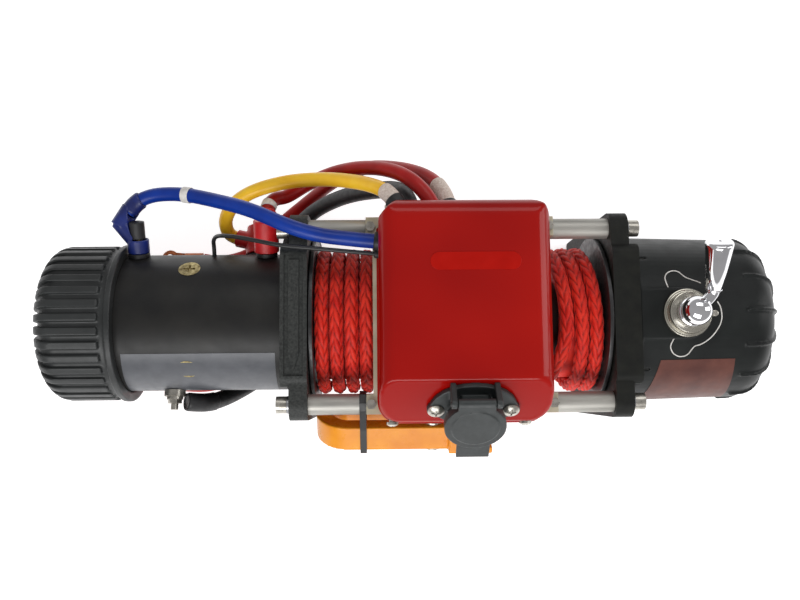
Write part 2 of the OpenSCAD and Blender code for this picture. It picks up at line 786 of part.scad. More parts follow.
module terminal_insulators() color([0.08, 0.08, 0.09]) {
    for (t = terminals) difference() {
        union() {
            difference() {
                on_motor(t[0], t[1]) translate([0, 0, -insulator_dip])
                    cylinder(h = insulator_h + insulator_dip, d = insulator_d);
                rod(motor_end_x, motor_len, motor_d + 2 * fit);
            }
            on_motor(t[0], t[1]) translate([0, 0, -motor_wall])
                cylinder(h = motor_wall + over, d = insulator_neck_d);
        }
        on_motor(t[0], t[1]) translate([0, 0, -motor_wall - over])
            cylinder(h = motor_wall + insulator_h + 2 * over, d = stud_d + 2 * fit);
    }
    on_motor(terminals[0][0], terminals[0][1]) difference() {
        translate([0, 0, insulator_h + gap + blue_boot_len + gap]) cylinder(h = stud_cap_len - blue_boot_len, d = stud_cap_d);
        cylinder(h = stud_len + gap, d = stud_d + 2 * fit);
    }
}
module terminal_studs() color([0.75, 0.7, 0.5]) for (t = terminals) on_motor(t[0], t[1]) {
    translate([0, 0, -motor_wall - stud_inside]) cylinder(h = motor_wall + stud_inside + stud_len, d = stud_d);
    for (z = [insulator_h, insulator_h + nut_h + lug_plate_t])
        translate([0, 0, z]) cylinder(h = nut_h, d = nut_af / cos(30), $fn = 6);
    translate([0, 0, insulator_h + nut_h]) cylinder(h = lug_plate_t, d = lug_plate_w);
}
module earth_stud() color("silver") on_motor(earth_stud_x, earth_stud_angle) {
    translate([0, 0, -motor_wall]) cylinder(h = motor_wall + earth_stud_len, d = stud_d);
    translate([0, 0, gap]) cylinder(h = earth_spacer_h, d = earth_spacer_d);
    translate([0, 0, gap + earth_spacer_h]) cylinder(h = lug_plate_t, d = lug_plate_w);
    translate([0, 0, gap + earth_spacer_h + lug_plate_t])
        cylinder(h = nut_h, d = nut_af / cos(30), $fn = 6);
}

// the half of a drum support at +X; the motor side mirrors it
module support_body() difference() {
    union() {
        slab(inner_x, lug_t) {
            arch(support_w, -axis_z + base_r, bar_rise + lug_r, lug_r);
            translate([0, -axis_z + foot_h / 2]) rounded(support_w, foot_h, base_r);
        }
        slab(inner_x, support_t) {
            arch(boss_w, -axis_z + arch_h, boss_rise, boss_r);
            translate([0, -axis_z + foot_h / 2]) rounded(support_w, foot_h, base_r);
        }
    }
    rod(inner_x - over, support_t + 2 * over, journal_d + 2 * bush_wall + 2 * fit);
    slab(inner_x - over, support_t + 2 * over) translate([-arch_w / 2, -axis_z - over]) square([arch_w, arch_h + over]);
    for (s = [-1, 1]) {
        translate([0, s * bar_y, bar_rise]) rod(inner_x - over, support_t + 2 * over, bar_screw_d + 2 * seat);
        translate([bolt_x / 2, s * bolt_y / 2, -over]) cylinder(h = pocket_z + 2 * over, d = bolt_hole_d);
        translate([bolt_x / 2 - pocket_w / 2, s * bolt_y / 2 - pocket_w / 2, pocket_z])
            cube([pocket_w + support_t, pocket_w, pocket_h]);
    }
}
module motor_drum_support() color([0.2, 0.22, 0.24]) difference() {
    mirror([1, 0, 0]) support_body();
    difference() {
        translate([-outer_x + panel_edge, -panel_len / 2, axis_z + boss_rise - panel_depth])
            cube([support_t - 2 * panel_edge, panel_len, panel_depth + over]);
        translate([-outer_x + support_t / 2, 0, axis_z + boss_rise - panel_depth - over])
            linear_extrude(panel_depth + over) polygon([[-arrow_w / 2, arrow_len / 2], [arrow_w / 2, arrow_len / 2],
                [arrow_w / 2, arrow_head - arrow_len / 2], [0, -arrow_len / 2],
                [-arrow_w / 2, arrow_head - arrow_len / 2]]);
    }
    for (s = [-1, 1]) translate([0, s * through_y, 0])
        rod(-outer_x - over, through_grip + 2 * over, through_d + 2 * fit);
}
module at_gear_screws() for (a = gear_screw_angles) translate([0, gear_screw_r * cos(a), gear_screw_r * sin(a)]) children();
module gear_drum_support() color([0.08, 0.08, 0.085]) difference() {
    support_body();
    at_gear_screws() {
        rod(inner_x - over, support_t + 2 * over, gear_screw_d + 2 * seat);
        rod(inner_x - over, gear_screw_head_h + over + seat, gear_screw_head_d + 2 * seat);
    }
}
module tie_bar(s) difference() {
    translate([0, s * bar_y, bar_rise]) rod(-inner_x, 2 * inner_x, bar_d);
    for (e = [-1, 1]) translate([e * inner_x, s * bar_y, bar_z]) rotate([0, 90, 0])
        cylinder(h = 2 * screw_grip, d = bar_screw_d + 2 * fit, center = true);
    at_bracket_bolts() translate([0, 0, -bracket_bolt_len - over]) cylinder(h = bracket_bolt_len, d = bracket_bolt_d + 2 * fit);
}
module front_tie_bar() color("silver") tie_bar(-1);
module rear_tie_bar() color("silver") tie_bar(1);
module at_bar_screws() for (e = [0, 1], s = [-1, 1]) mirror([e, 0, 0]) translate([0, s * bar_y, bar_rise]) children();
module tie_bar_screws() color("silver") at_bar_screws() {
    difference() {
        rod(inner_x + lug_t + washer_t, screw_head_h, screw_head_d);
        hex_rod(inner_x + lug_t + washer_t + screw_head_h - screw_hex_depth, screw_hex_depth + over, screw_hex);
    }
    rod(inner_x - screw_grip + over, screw_grip + lug_t + washer_t, bar_screw_d);
}
module spring_washers() color("gray") at_bar_screws() difference() {
    rod(inner_x + lug_t, washer_t, washer_d);
    rod(inner_x + lug_t - over, washer_t + 2 * over, bar_screw_d + 2 * seat);
    translate([inner_x + lug_t - over, 0, axis_z]) rotate([washer_slit_angle, 0, 0])
        translate([0, 0, -washer_slit / 2]) cube([washer_t + 2 * over, washer_d, washer_slit]);
}

module drum() color([0.12, 0.12, 0.13]) turned() polygon([[drum_bore_d / 2, -journal_x], [journal_d / 2, -journal_x],
    [journal_d / 2, -flange_out_x], [flange_d / 2, -flange_out_x], [flange_d / 2, -flange_in_x],
    [barrel_d / 2, -flange_in_x], [barrel_d / 2, flange_in_x], [flange_d / 2, flange_in_x],
    [flange_d / 2, flange_out_x], [journal_d / 2, flange_out_x], [journal_d / 2, journal_x],
    [drum_bore_d / 2, journal_x]]);
// inner layers of rope, plain, in two piles with the bare drum showing between them
module rope_core() color([0.6, 0.08, 0.06]) for (pile = [[-core_x, core_left_end], [core_right_start, core_x]])
    difference() {
        rod(pile[0], pile[1] - pile[0], 2 * (wound_r - rope_d - over));
        rod(pile[0] - over, pile[1] - pile[0] + 2 * over, barrel_d + 2 * fit);
    }
// place along the drum of turn i, and of the outer layer after u turns: a turn steps over to its
// place under the drum, and the group on the right leans over at the rear
function place(i) = i < left_turns ? turn_start_x + turn_pitch * i : -turn_start_x - turn_pitch * (turns - 1 - i);
function stepped(u, i) = place(i - 1)
    + (place(i) - place(i - 1)) * min(1, (u - i) / (i == left_turns ? long_step_share : step_share));
function turn_x(u) = u < 1 ? turn_start_x : stepped(u, floor(u));
function lean_at(u) = right_lean * min(1, max(0, (u - left_turns) / long_step_share));
function turn_point(u) = let (a = turn_end_angle + 360 * (turns - u))
    [turn_x(u) - lean_at(u) * pow((1 + cos(a)) / 2, 2), turn_r * cos(a), axis_z + turn_r * sin(a)];
wound_points = [for (i = [turn_rings * step_share : turns * turn_rings]) turn_point(i / turn_rings)];
turn_rows = len(wound_points) - 1;
turn_end = wound_points[turn_rows];
// the rope leaves the drum on a straight line and is cut on a cylinder round the winding: its wound
// part turns inside the cylinder, and its free part lies outside
off_way = unit([off_lean, sin(turn_end_angle), -cos(turn_end_angle)]);
function run_out(q, r) = let (w = [off_way[1], off_way[2]], y = [q[1], q[2] - axis_z], b = y * w, a = w * w)
    (sqrt(b * b - a * (y * y - r * r)) - b) / a;
function cut_ring(ring, r) = [for (q = ring) q + run_out(q, r) * off_way];
function least_gap(p, skip, r) = min([for (i = [0 : len(p) - 1], j = [i + skip : 1 : min(i + 2 * skip, len(p) - 1)])
    norm(p[i] - p[j])]) - 2 * r;
module rope_winding() {
    echo(rope_gap = least_gap(wound_points, turn_rings - 2, rope_d / 2));
    rings = ring_points(wound_points, rope_d / 2, turn_sides, [1, 0, 0]);
    last = [for (k = [0 : turn_sides - 1]) rings[turn_rows * turn_sides + k]];
    color([0.8, 0.1, 0.07]) polyhedron(concat(rings, cut_ring(last, wound_r + gap)),
        tube_faces(turn_rows + 2, turn_sides));
}
module drive_shaft() color("silver") {
    hex_rod(-outer_x + shaft_end, outer_x - shaft_end + drive_end_x, hex_d);
    difference() {
        rod(-outer_x + coupling_gap, coupling_len, coupling_d);
        rod(-outer_x, shaft_end + over, shaft_d + 2 * fit);
    }
    rod(brake_x, brake_len, brake_hub_d);
}
module brake_pads() color("darkkhaki") slab(brake_x, brake_len) for (k = [0, 180])
    sector(brake_hub_d / 2 + gap, drum_bore_d / 2 - fit, k, brake_pad_arc);

// half outline of the housing: its tapered body and the crown and corner of its domed end
module gear_outline(rise) {
    polygon([[0, outer_x], [gear_d / 2 + rise, outer_x], [gear_end_d / 2 + rise, gear_round_x], [0, gear_round_x]]);
    translate([dome_corner_c, gear_round_x]) circle(dome_corner_r + rise);
    translate([0, gear_end_x - dome_crown_r]) intersection() {
        circle(dome_crown_r + rise);
        polygon([[0, 0], [0, 2 * dome_crown_r], [2 * dome_corner_c, 2 * (dome_crown_r - dome_len)]]);
    }
}
module gear_housing() color([0.1, 0.1, 0.11]) difference() {
    union() {
        turned() gear_outline(0);
        intersection() {
            turned() gear_outline(gear_rib_rise);
            slab(gear_end_x - gear_rib_len, gear_rib_len + gear_rib_rise)
                for (i = [0 : gear_ribs - 1]) rotate(gear_rib_first + 360 * i / gear_ribs)
                    translate([gear_rib_in, -gear_rib_w / 2]) square([gear_d, gear_rib_w]);
        }
        slab(outer_x, lock_x - outer_x) translate([clutch_y - clutch_boss_w / 2, 0])
            square([clutch_boss_w, boss_top]);
        translate([lock_x, clutch_y, axis_z]) cylinder(h = boss_top, d = clutch_boss_w);
    }
    turned() square([housing_bore_d / 2, housing_floor_x]);
    slab(outer_x - over, lock_x - outer_x + over) translate([clutch_y - clutch_boss_w / 2, boss_top])
        square([clutch_boss_w, boss_top]);
    translate([lock_x, clutch_y, axis_z + boss_top]) cylinder(h = boss_top, d = clutch_boss_w);
    translate([lock_x, clutch_y, axis_z]) cylinder(h = boss_top + over, d = pin_d + 2 * fit);
    translate([lock_x, clutch_y, axis_z + chamber_floor]) cylinder(h = boss_top, d = collar_bore_d);
    at_gear_screws() rod(outer_x - over, gear_screw_len - support_t + over, gear_screw_d + 2 * fit);
}
module gear_housing_screws() color("silver") at_gear_screws() {
    difference() {
        rod(inner_x + seat, gear_screw_head_h, gear_screw_head_d);
        hex_rod(inner_x - over, gear_screw_head_h - over, gear_screw_d - over);
    }
    rod(inner_x + gear_screw_head_h, gear_screw_len - gear_screw_head_h - over, gear_screw_d);
}
module ring_gear() color("darkgray") {
    slab(ring_x, ring_teeth_len) difference() {
        circle(ring_d / 2);
        rotate(first_planet) gear(ring_teeth, gear_module, ring_pitch_r + gear_module * dedendum_share,
            ring_pitch_r - gear_module * addendum_share, -gear_module * backlash_share);
    }
    difference() {
        rod(ring_x + ring_teeth_len - over, ring_len - ring_teeth_len + over, ring_d);
        rod(ring_x, ring_len + over, ring_relief_d);
        for (i = [0 : lock_holes - 1]) translate([lock_x, 0, axis_z]) rotate([360 * i / lock_holes, 0, 0])
            translate([0, clutch_y, ring_relief_d / 2 - lock_hole_d]) cylinder(h = ring_d, d = lock_hole_d);
    }
}
module sun_gear() color("silver") difference() {
    union() {
        slab(gear_x, gear_face) rotate(first_planet)
            gear(sun_teeth, gear_module, sun_pitch_r + gear_module * addendum_share,
                sun_pitch_r - gear_module * dedendum_share, gear_module * backlash_share);
        rod(gear_x + gear_face - over, stage_x + stage_bore_len - gear_x - gear_face, sun_hub_d);
    }
    rod(gear_x - over, gear_len, sun_bore_d);
}
module planet_gear(k) slab(gear_x, gear_face) rotate(first_planet + 360 * k / planet_count)
    translate([planet_pitch_r + sun_pitch_r, 0]) difference() {
        gear(planet_teeth, gear_module, planet_pitch_r + gear_module * addendum_share,
            planet_pitch_r - gear_module * dedendum_share, gear_module * backlash_share);
        circle(planet_pin_d / 2 + fit);
    }
module planet_gear_1() color("silver") planet_gear(0);
module planet_gear_2() color("silver") planet_gear(1);
module planet_gear_3() color("silver") planet_gear(2);
module planet_carrier() color("slategray") {
    difference() {
        union() {
            rod(carrier_x, carrier_disc_t, carrier_d);
            rod(carrier_end_x, carrier_disc_t, carrier_d);
            rod(carrier_x - carrier_spigot_len, carrier_spigot_len + over, drum_bore_d - 2 * fit);
        }
        rod(carrier_x - carrier_spigot_len - over, gear_len, carrier_bore_d);
    }
    for (k = [0 : planet_count - 1]) let (a = first_planet + 360 * k / planet_count)
        translate([0, planet_orbit * cos(a), planet_orbit * sin(a)])
            rod(carrier_x + over, carrier_end_x - carrier_x, planet_pin_d);
}
module input_stages() color("gray") difference() {
    union() {
        rod(stage_x, stage_len, stage_step_d);
        rod(stage_x + stage_step_len, stage_len - 2 * stage_step_len, stage_d);
    }
    rod(stage_x - over, stage_bore_len + over, sun_hub_d + 2 * fit);
    rod(stage_x - over, drive_end_x - stage_x + 2 * over, sun_bore_d);
}
module clutch_collar() color("silver") translate([lock_x, clutch_y, axis_z + boss_top]) {
    difference() {
        union() {
            cylinder(h = seal_h, d = seal_d);
            translate([0, 0, seal_h]) cylinder(h = collar_h, d = collar_d);
        }
        translate([0, 0, -over]) cylinder(h = seal_h + collar_h + 2 * over, d = collar_bore_d);
    }
}
module clutch_lever() color("gainsboro") difference() {
    union() {
        translate([lock_x, clutch_y, hub_z]) {
            cylinder(h = hub_base_h, d = hub_base_d);
            translate([0, 0, hub_ball_rise]) sphere(d = hub_ball_d);
        }
        aimed(arm_from, arm_to) cylinder(h = norm(arm_to - arm_from), d = arm_d);
        translate(arm_to) sphere(d = arm_d + over);
        aimed(arm_to, grip_to) {
            cylinder(h = grip_start, d = arm_d);
            translate([0, 0, grip_start]) cylinder(h = grip_len, d1 = grip_start_d, d2 = grip_end_d);
            translate([0, 0, grip_start + grip_len]) cylinder(h = grip_crown, d1 = grip_end_d, d2 = grip_end_d * grip_round_share);
        }
    }
    translate([lock_x, clutch_y, hub_z - over]) cylinder(h = hub_roof + over, d = pin_d + 2 * fit);
}
module clutch_pin() color("silver") translate([lock_x, clutch_y, axis_z]) {
    translate([0, 0, pin_reach]) cylinder(h = pin_end_rise - pin_reach, d = pin_d);
    translate([0, 0, chamber_floor + fit]) cylinder(h = pin_shoulder_t, d = pin_shoulder_d);
}
// a closed coil between the pin's shoulder and the foot of the lever
spring_low = axis_z + chamber_floor + fit + pin_shoulder_t + spring_wire / 2;
spring_high = hub_z - gap - spring_wire / 2;
spring_points = [for (i = [0 : spring_curls * spring_rings]) let (a = 360 * i / spring_rings)
    [lock_x + spring_d / 2 * cos(a), clutch_y + spring_d / 2 * sin(a),
        spring_low + (spring_high - spring_low) * i / spring_curls / spring_rings]];
module clutch_spring() color("silver") {
    echo(spring_gap = least_gap(spring_points, spring_rings - 1, spring_wire / 2));
    tube(spring_points, spring_wire / 2, turn_sides, [0, 0, 1]);
}

function slope_z(y) = box_z + box_h - max(0, (slope_start - y) * tan(slope_angle));
module box_outline(inset) difference() {
    rounded(box_len - 2 * inset, box_depth - 2 * inset, box_round - inset);
    translate([-box_len / 2 + inset, box_depth / 2 - inset]) rotate(45)
        square([2 * box_corner_cut, 2 * box_corner_cut], center = true);
}
module box_form(inset) intersection() {
    translate([0, 0, box_z]) linear_extrude(box_h) box_outline(inset);
    translate([-box_len, 0, box_z]) rotate([90, 0, 90]) linear_extrude(2 * box_len) intersection() {
        rounded(box_depth - 2 * inset, 2 * box_h - 2 * inset, box_top_round - inset);
        polygon([[-box_depth, -over], [box_depth, -over], [box_depth, box_h],
            [slope_start + inset / sin(slope_angle), box_h],
            [slope_start - box_h / tan(slope_angle) + inset / sin(slope_angle), 0]]);
    }
    translate([0, box_depth, box_z]) rotate([90, 0, 0]) linear_extrude(2 * box_depth)
        rounded(box_len - 2 * inset, 2 * box_h - 2 * inset, box_top_round - inset);
}
module lead_hole(points, d) {
    way = unit(points[2] - points[0]) * lead_hole_len / 2;
    aimed(points[1] - way, points[1] + way) cylinder(h = lead_hole_len, d = d + 2 * over);
}
module control_box_cover() color([0.75, 0.08, 0.06]) difference() {
    union() {
        box_form(0);
        translate([0, 0, box_z]) linear_extrude(lip_h) intersection() {
            rounded(box_len + 2 * lip_t, box_depth + 2 * lip_t, box_round + lip_t);
            translate([-box_len, -box_depth]) square([2 * box_len, box_depth + box_depth / 2 - box_round]);
        }
    }
    translate([0, 0, -over]) box_form(box_wall);
    on_slope() {
        translate([0, 0, -socket_back_len]) cylinder(h = 2 * socket_back_len, d = socket_back_d + 2 * seat);
        for (s = [-1, 1]) translate([s * socket_ear_x, 0, -socket_back_len])
            cylinder(h = 2 * socket_back_len, d = cover_screw_d + 2 * seat);
    }
    lead_hole(blue_route, lead_d);
    lead_hole(yellow_route, lead_d);
    lead_hole(red_route, lead_d);
    lead_hole(battery_route, lead_d);
    lead_hole(earth_route, earth_d);
    lead_hole(wire_route, wire_d);
    at_cover_screws() translate([0, 0, -cover_screw_len - over]) cylinder(h = 2 * cover_screw_len, d = cover_screw_d + 2 * seat);
}
module control_box_base() color([0.78, 0.75, 0.6]) difference() {
    union() {
        translate([0, 0, base_z]) linear_extrude(plate_t) {
            box_outline(plate_inset);
            for (s = [-1, 1]) translate([s * strip_x, 0]) square([strip_w, 2 * bar_y + bracket_foot_w], center = true);
        }
        for (sx = [-1, 1], sy = [-1, 1]) translate([sx * bracket_foot_x, sy * bar_y, bar_z])
            linear_extrude(box_z - bar_z) square(bracket_foot_w, center = true);
    }
    for (s = [-1, 1]) translate([0, s * bar_y, bar_rise]) rod(-box_len, 2 * box_len, bar_d + 2 * fit);
    at_bracket_bolts() translate([0, 0, -bracket_bolt_len]) cylinder(h = 2 * bracket_bolt_len, d = bracket_bolt_d + 2 * seat);
}
module at_bracket_bolts() for (sx = [-1, 1], sy = [-1, 1])
    translate([sx * bracket_bolt_x, sy * bar_y, box_z]) children();
module bracket_bolts() color([0.78, 0.75, 0.6]) at_bracket_bolts() {
    cylinder(h = bolt_head_h, d = bolt_head_d / cos(30), $fn = 6);
    translate([0, 0, -bracket_bolt_len]) cylinder(h = bracket_bolt_len + over, d = bracket_bolt_d);
}
module at_cover_screws() {
    for (x = [cover_screw_left_x, cover_screw_right_x], s = [0, 1])
        translate([x, 0, box_z + cover_screw_z]) mirror([0, s, 0]) translate([0, -box_depth / 2, 0])
            rotate([90, 0, 0]) children();
}
module pan_screw(d, head_d, head_h, length) difference() {
    union() {
        intersection() {
            cylinder(h = head_h, d = head_d);
            translate([0, 0, head_h - head_d * pan_share]) sphere(d = 2 * head_d * pan_share);
        }
        translate([0, 0, -length]) cylinder(h = length + head_h / 2, d = d);
    }
    for (a = [0, 90]) rotate(a) translate([-head_d * cross_share, -cross_w / 2, head_h / 2])
        cube([2 * head_d * cross_share, cross_w, head_h]);
}
module cover_screws() color("silver") {
    at_cover_screws() pan_screw(cover_screw_d, cover_screw_head_d, cover_screw_head_h, cover_screw_len);
    on_slope() for (s = [-1, 1]) translate([s * socket_ear_x, 0, socket_flange_t])
        pan_screw(cover_screw_d, socket_screw_d, socket_screw_h, cover_screw_len);
}
module contactor() color([0.15, 0.15, 0.16]) {
    translate([0, contactor_y, box_z]) linear_extrude(contactor_h)
        rounded(contactor_len, contactor_w, contactor_round);
    for (sx = [-1, 1], sy = [-1, 1])
        translate([sx * terminal_pitch, contactor_y + sy * terminal_pitch, box_z + contactor_h - over])
            cylinder(h = terminal_h + over, d = terminal_d);
}
module socket_body() color([0.07, 0.07, 0.075]) on_slope() difference() {
    union() {
        linear_extrude(socket_flange_t) {
            circle(socket_flange_d / 2);
            for (s = [-1, 1]) translate([s * socket_ear_x, 0]) circle(socket_ear_d / 2);
            polygon([for (a = [0 : flange_arch_step : 180]) [flange_arch_w * cos(a), flange_arch_h * sin(a)]]);
            polygon([[-socket_ear_x, over], [socket_ear_x, over],
                [socket_ear_x, -socket_ear_d / 2], [socket_flange_d * ear_share, -socket_flange_d / 2],
                [-socket_flange_d * ear_share, -socket_flange_d / 2], [-socket_ear_x, -socket_ear_d / 2]]);
        }
        cylinder(h = socket_flange_t + socket_neck_len, d = socket_neck_af / cos(30), $fn = 6);
        translate([0, 0, -socket_back_len]) cylinder(h = socket_back_len + over, d = socket_back_d);
        for (s = [-1, 1]) translate([s * (cap_ear_w / 2 + cap_hinge_gap + ear_t / 2), 0, 0]) {
            translate([-ear_t / 2, socket_neck_af / 2 - ear_t, 0])
                cube([ear_t, cap_hinge_v + cap_pin_d - socket_neck_af / 2 + ear_t, cap_ear_low]);
            translate([-ear_t / 2, cap_hinge_v - cap_pin_d, 0]) cube([ear_t, 2 * cap_pin_d, cap_hinge_w]);
            translate([-ear_t / 2, cap_hinge_v, cap_hinge_w]) rotate([0, 90, 0]) cylinder(h = ear_t, d = 2 * cap_pin_d);
        }
    }
    translate([0, 0, socket_floor_t - socket_back_len])
        cylinder(h = socket_back_len + socket_flange_t + socket_neck_len, d = socket_bore_d);
    for (s = [-1, 1]) translate([s * socket_ear_x, 0, -over])
        cylinder(h = socket_flange_t + 2 * over, d = cover_screw_d + 2 * seat);
    translate([-box_len / 2, cap_hinge_v, cap_hinge_w]) rotate([0, 90, 0]) cylinder(h = box_len, d = cap_pin_d + 2 * fit);
}
module socket_cap() color([0.08, 0.08, 0.085]) on_slope() {
    translate([0, 0, cap_seat]) difference() {
        union() {
            cylinder(h = cap_t, d = socket_cap_d);
            translate([0, 0, -cap_skirt_h]) cylinder(h = cap_skirt_h + over, d = socket_cap_d);
            translate([-tab_w / 2, -socket_cap_d / 2 - tab_len, 0]) cube([tab_w, tab_len + socket_cap_d / 4, tab_t]);
        }
        translate([0, 0, -cap_skirt_h - over]) cylinder(h = cap_skirt_h + over, d = socket_cap_d - 2 * cap_skirt_t);
    }
    translate([0, 0, cap_seat + cap_t - over]) cylinder(h = cap_disc_h + over, d = cap_disc_d);
    translate([-cap_ear_w / 2, cap_hinge_v, cap_hinge_w]) rotate([0, 90, 0]) cylinder(h = cap_ear_w, d = 2 * cap_pin_d);
    translate([-cap_ear_w / 2, socket_neck_af / 2, cap_seat]) cube([cap_ear_w, cap_hinge_v - socket_neck_af / 2, cap_t]);
    translate([-cap_pin_len / 2, cap_hinge_v, cap_hinge_w]) rotate([0, 90, 0]) cylinder(h = cap_pin_len, d = cap_pin_d);
}
module socket_contacts() color("goldenrod") on_slope() for (k = [0 : socket_pins - 1]) rotate(45 + 360 * k / socket_pins)
    translate([socket_pin_pcd / 2, 0, socket_floor_t - socket_back_len]) cylinder(h = socket_pin_len, d = socket_pin_d);

module blue_lead() color([0.1, 0.25, 0.75]) tube(smooth(blue_route, tube_steps), lead_d / 2);
module yellow_lead() color([0.9, 0.65, 0.15]) tube(smooth(yellow_route, tube_steps), lead_d / 2);
module red_lead() color([0.7, 0.12, 0.1]) tube(smooth(red_route, tube_steps), lead_d / 2);
module earth_lead() color([0.06, 0.06, 0.06]) tube(smooth(earth_route, tube_steps), earth_d / 2);
module sensor_wire() color([0.08, 0.08, 0.08]) tube(smooth(wire_route, tube_steps), wire_d / 2);
// rubber boots: a cup over the stud and its nuts, and a sleeve that runs out to the end of the lead
// a roof below zero leaves the cup open for a stud cap
module boot(t, d, length, roof, way) difference() {
    union() {
        on_motor(t[0], t[1]) translate([0, 0, insulator_h + gap]) cylinder(h = length, d = d);
        for (i = [0 : len(way) - 2]) let (back = i > 0 ? boot_lap : 0)
            aimed(way[i], way[i + 1]) translate([0, 0, -back])
                cylinder(h = norm(way[i + 1] - way[i]) + back + boot_lap, d = boot_sleeve_d - i);
    }
    on_motor(t[0], t[1]) cylinder(h = insulator_h + gap + length - roof, d = lug_plate_w + 2 * gap);
    if (roof < 0) on_motor(t[0], t[1]) cylinder(h = 2 * stud_cap_len, d = stud_cap_d + 2 * gap);
    aimed(way[0], way[1]) translate([0, 0, -over]) cylinder(h = boot_grip + over, d = lead_d + 2 * gap);
}
module lead_boots() {
    color([0.1, 0.2, 0.5]) boot(terminals[0], blue_boot_d, blue_boot_len, -over, blue_boot_way);
    color([0.75, 0.12, 0.1]) boot(terminals[1], boot_d, boot_len, over, red_boot_way);
    color([0.75, 0.12, 0.1]) boot(terminals[2], boot_d, boot_len, over, yellow_boot_way);
}
// the hank is a flat stadium of loops: inwards in the lower layer, out again in the upper one
function hank_r(u) = hank_fold + hank_pitch * abs(hank_loops - u);
function hank_level(u) = lead_d / 2
    + (lead_d + hank_gap) * min(1, max(0, u - hank_loops + climb_share) / (2 * climb_share));
function hank_point(u) = let (turn = u - floor(u), r = hank_r(u), side = turn < 0.5 ? 1 : -1,
        part = turn < 0.5 ? 2 * turn : 2 * turn - 1,
        run = min(1, part / run_share),
        bend = max(0, (part - run_share) / (1 - run_share)) * 180)
    [hank_x + side * (hank_run / 2 - hank_run * run - r * sin(bend)),
        hank_y + side * r * cos(bend), hank_level(u)];
hank_points = [for (i = [0 : 2 * hank_loops * hank_rings]) hank_point(i / hank_rings)];
module battery_lead() color([0.7, 0.1, 0.09]) tube(smooth(battery_route, tube_steps), lead_d / 2);
module battery_lead_hank() {
    echo(hank_gap_left = least_gap(hank_points, hank_rings - 3, lead_d / 2));
    color([0.7, 0.1, 0.09]) tube(hank_points, lead_d / 2, turn_sides, [0, 0, 1]);
}
module battery_ring_terminal() color([0.75, 0.45, 0.3])
    translate(hank_points[2 * hank_loops * hank_rings] - [over, 0, 0]) rotate([0, -90, 0]) {
        cylinder(h = ring_barrel_len, d = lead_d + over);
        translate([0, 0, ring_barrel_len - over]) rotate([0, ring_lug_bend, 0]) difference() {
            union() {
                translate([-ring_lug_t / 2, -lead_d / 2, -over]) cube([ring_lug_t, lead_d, ring_lug_len + over]);
                translate([-ring_lug_t / 2, 0, ring_lug_len]) rotate([0, 90, 0])
                    cylinder(h = ring_lug_t, d = ring_lug_w);
            }
            translate([-ring_lug_t, 0, ring_lug_len]) rotate([0, 90, 0])
                cylinder(h = 2 * ring_lug_t, d = ring_hole_d);
        }
    }

// the faces over its cut end run across the rope, so that they keep outside the winding
function zigzag_faces(sides) = concat([for (k = [0 : sides / 2 - 2]) [k, k + 1, sides - 1 - k]],
    [for (k = [1 : sides / 2 - 1]) [k, sides - 1 - k, sides - k]]);
module rope_tail() {
    first = [0, cos(turn_end_angle), sin(turn_end_angle)];
    points = smooth(concat([turn_end + off_way * off_len, turn_end + off_way * (off_len + rope_d / 2)], tail_route), tube_steps);
    start = ring_points([turn_end, turn_end + off_way], rope_d / 2, tube_sides, first);
    cut = cut_ring([for (k = [0 : tube_sides - 1]) start[k]], wound_r + 2 * gap);
    faces = tube_faces(len(points) + 1, tube_sides);
    color([0.8, 0.1, 0.07]) polyhedron(concat(cut, ring_points(points, rope_d / 2, tube_sides, first)),
        concat(zigzag_faces(tube_sides), [for (i = [tube_sides - 2 : len(faces) - 1]) faces[i]]));
}
module rope_thimble() color("silver") on_hook() translate([clevis_pin_u, shank_v, -thimble_w / 2]) rotate(thimble_turn) difference() {
    linear_extrude(thimble_w) {
        circle(clevis_pin_d / 2 + thimble_wall);
        translate([0, -clevis_pin_d / 2 - thimble_wall]) square([thimble_len, clevis_pin_d + 2 * thimble_wall]);
    }
    translate([0, 0, -over]) cylinder(h = thimble_w + 2 * over, d = clevis_pin_d + 2 * seat);
}
module hook_outline() {
    difference() {
        union() {
            circle(bowl_r);
            translate([0, bowl_r - shank_w]) square([shank_len, shank_w]);
            polygon([[0, -bowl_r], [0, -bowl_inner_r], [tip_len, tip_rise - bowl_inner_r],
                [tip_len, tip_rise - bowl_inner_r - tip_end_w]]);
        }
        circle(bowl_inner_r);
        translate([0, -bowl_inner_r]) polygon([[0, 0], [tip_len, tip_rise], [tip_len + bowl_r, tip_rise],
            [tip_len + bowl_r, 2 * bowl_inner_r], [0, 2 * bowl_inner_r]]);
    }
}
module clevis_hook() color([0.95, 0.6, 0.1]) on_hook() difference() {
    union() {
        translate([0, 0, -hook_t / 2]) linear_extrude(hook_t) hook_outline();
        translate([clevis_pin_u - clevis_len / 2, shank_v - clevis_w / 2, -clevis_t / 2])
            cube([clevis_len, clevis_w, clevis_t]);
    }
    translate([clevis_pin_u - clevis_len / 2 + clevis_root, shank_v - clevis_w, -clevis_gap / 2])
        cube([clevis_len, 2 * clevis_w, clevis_gap]);
    translate([clevis_pin_u, shank_v, -clevis_t]) cylinder(h = 2 * clevis_t, d = clevis_pin_d + 2 * fit);
    translate([latch_pin_u, latch_pin_v, -hook_t]) cylinder(h = 2 * hook_t, d = latch_pin_d + 2 * fit);
}
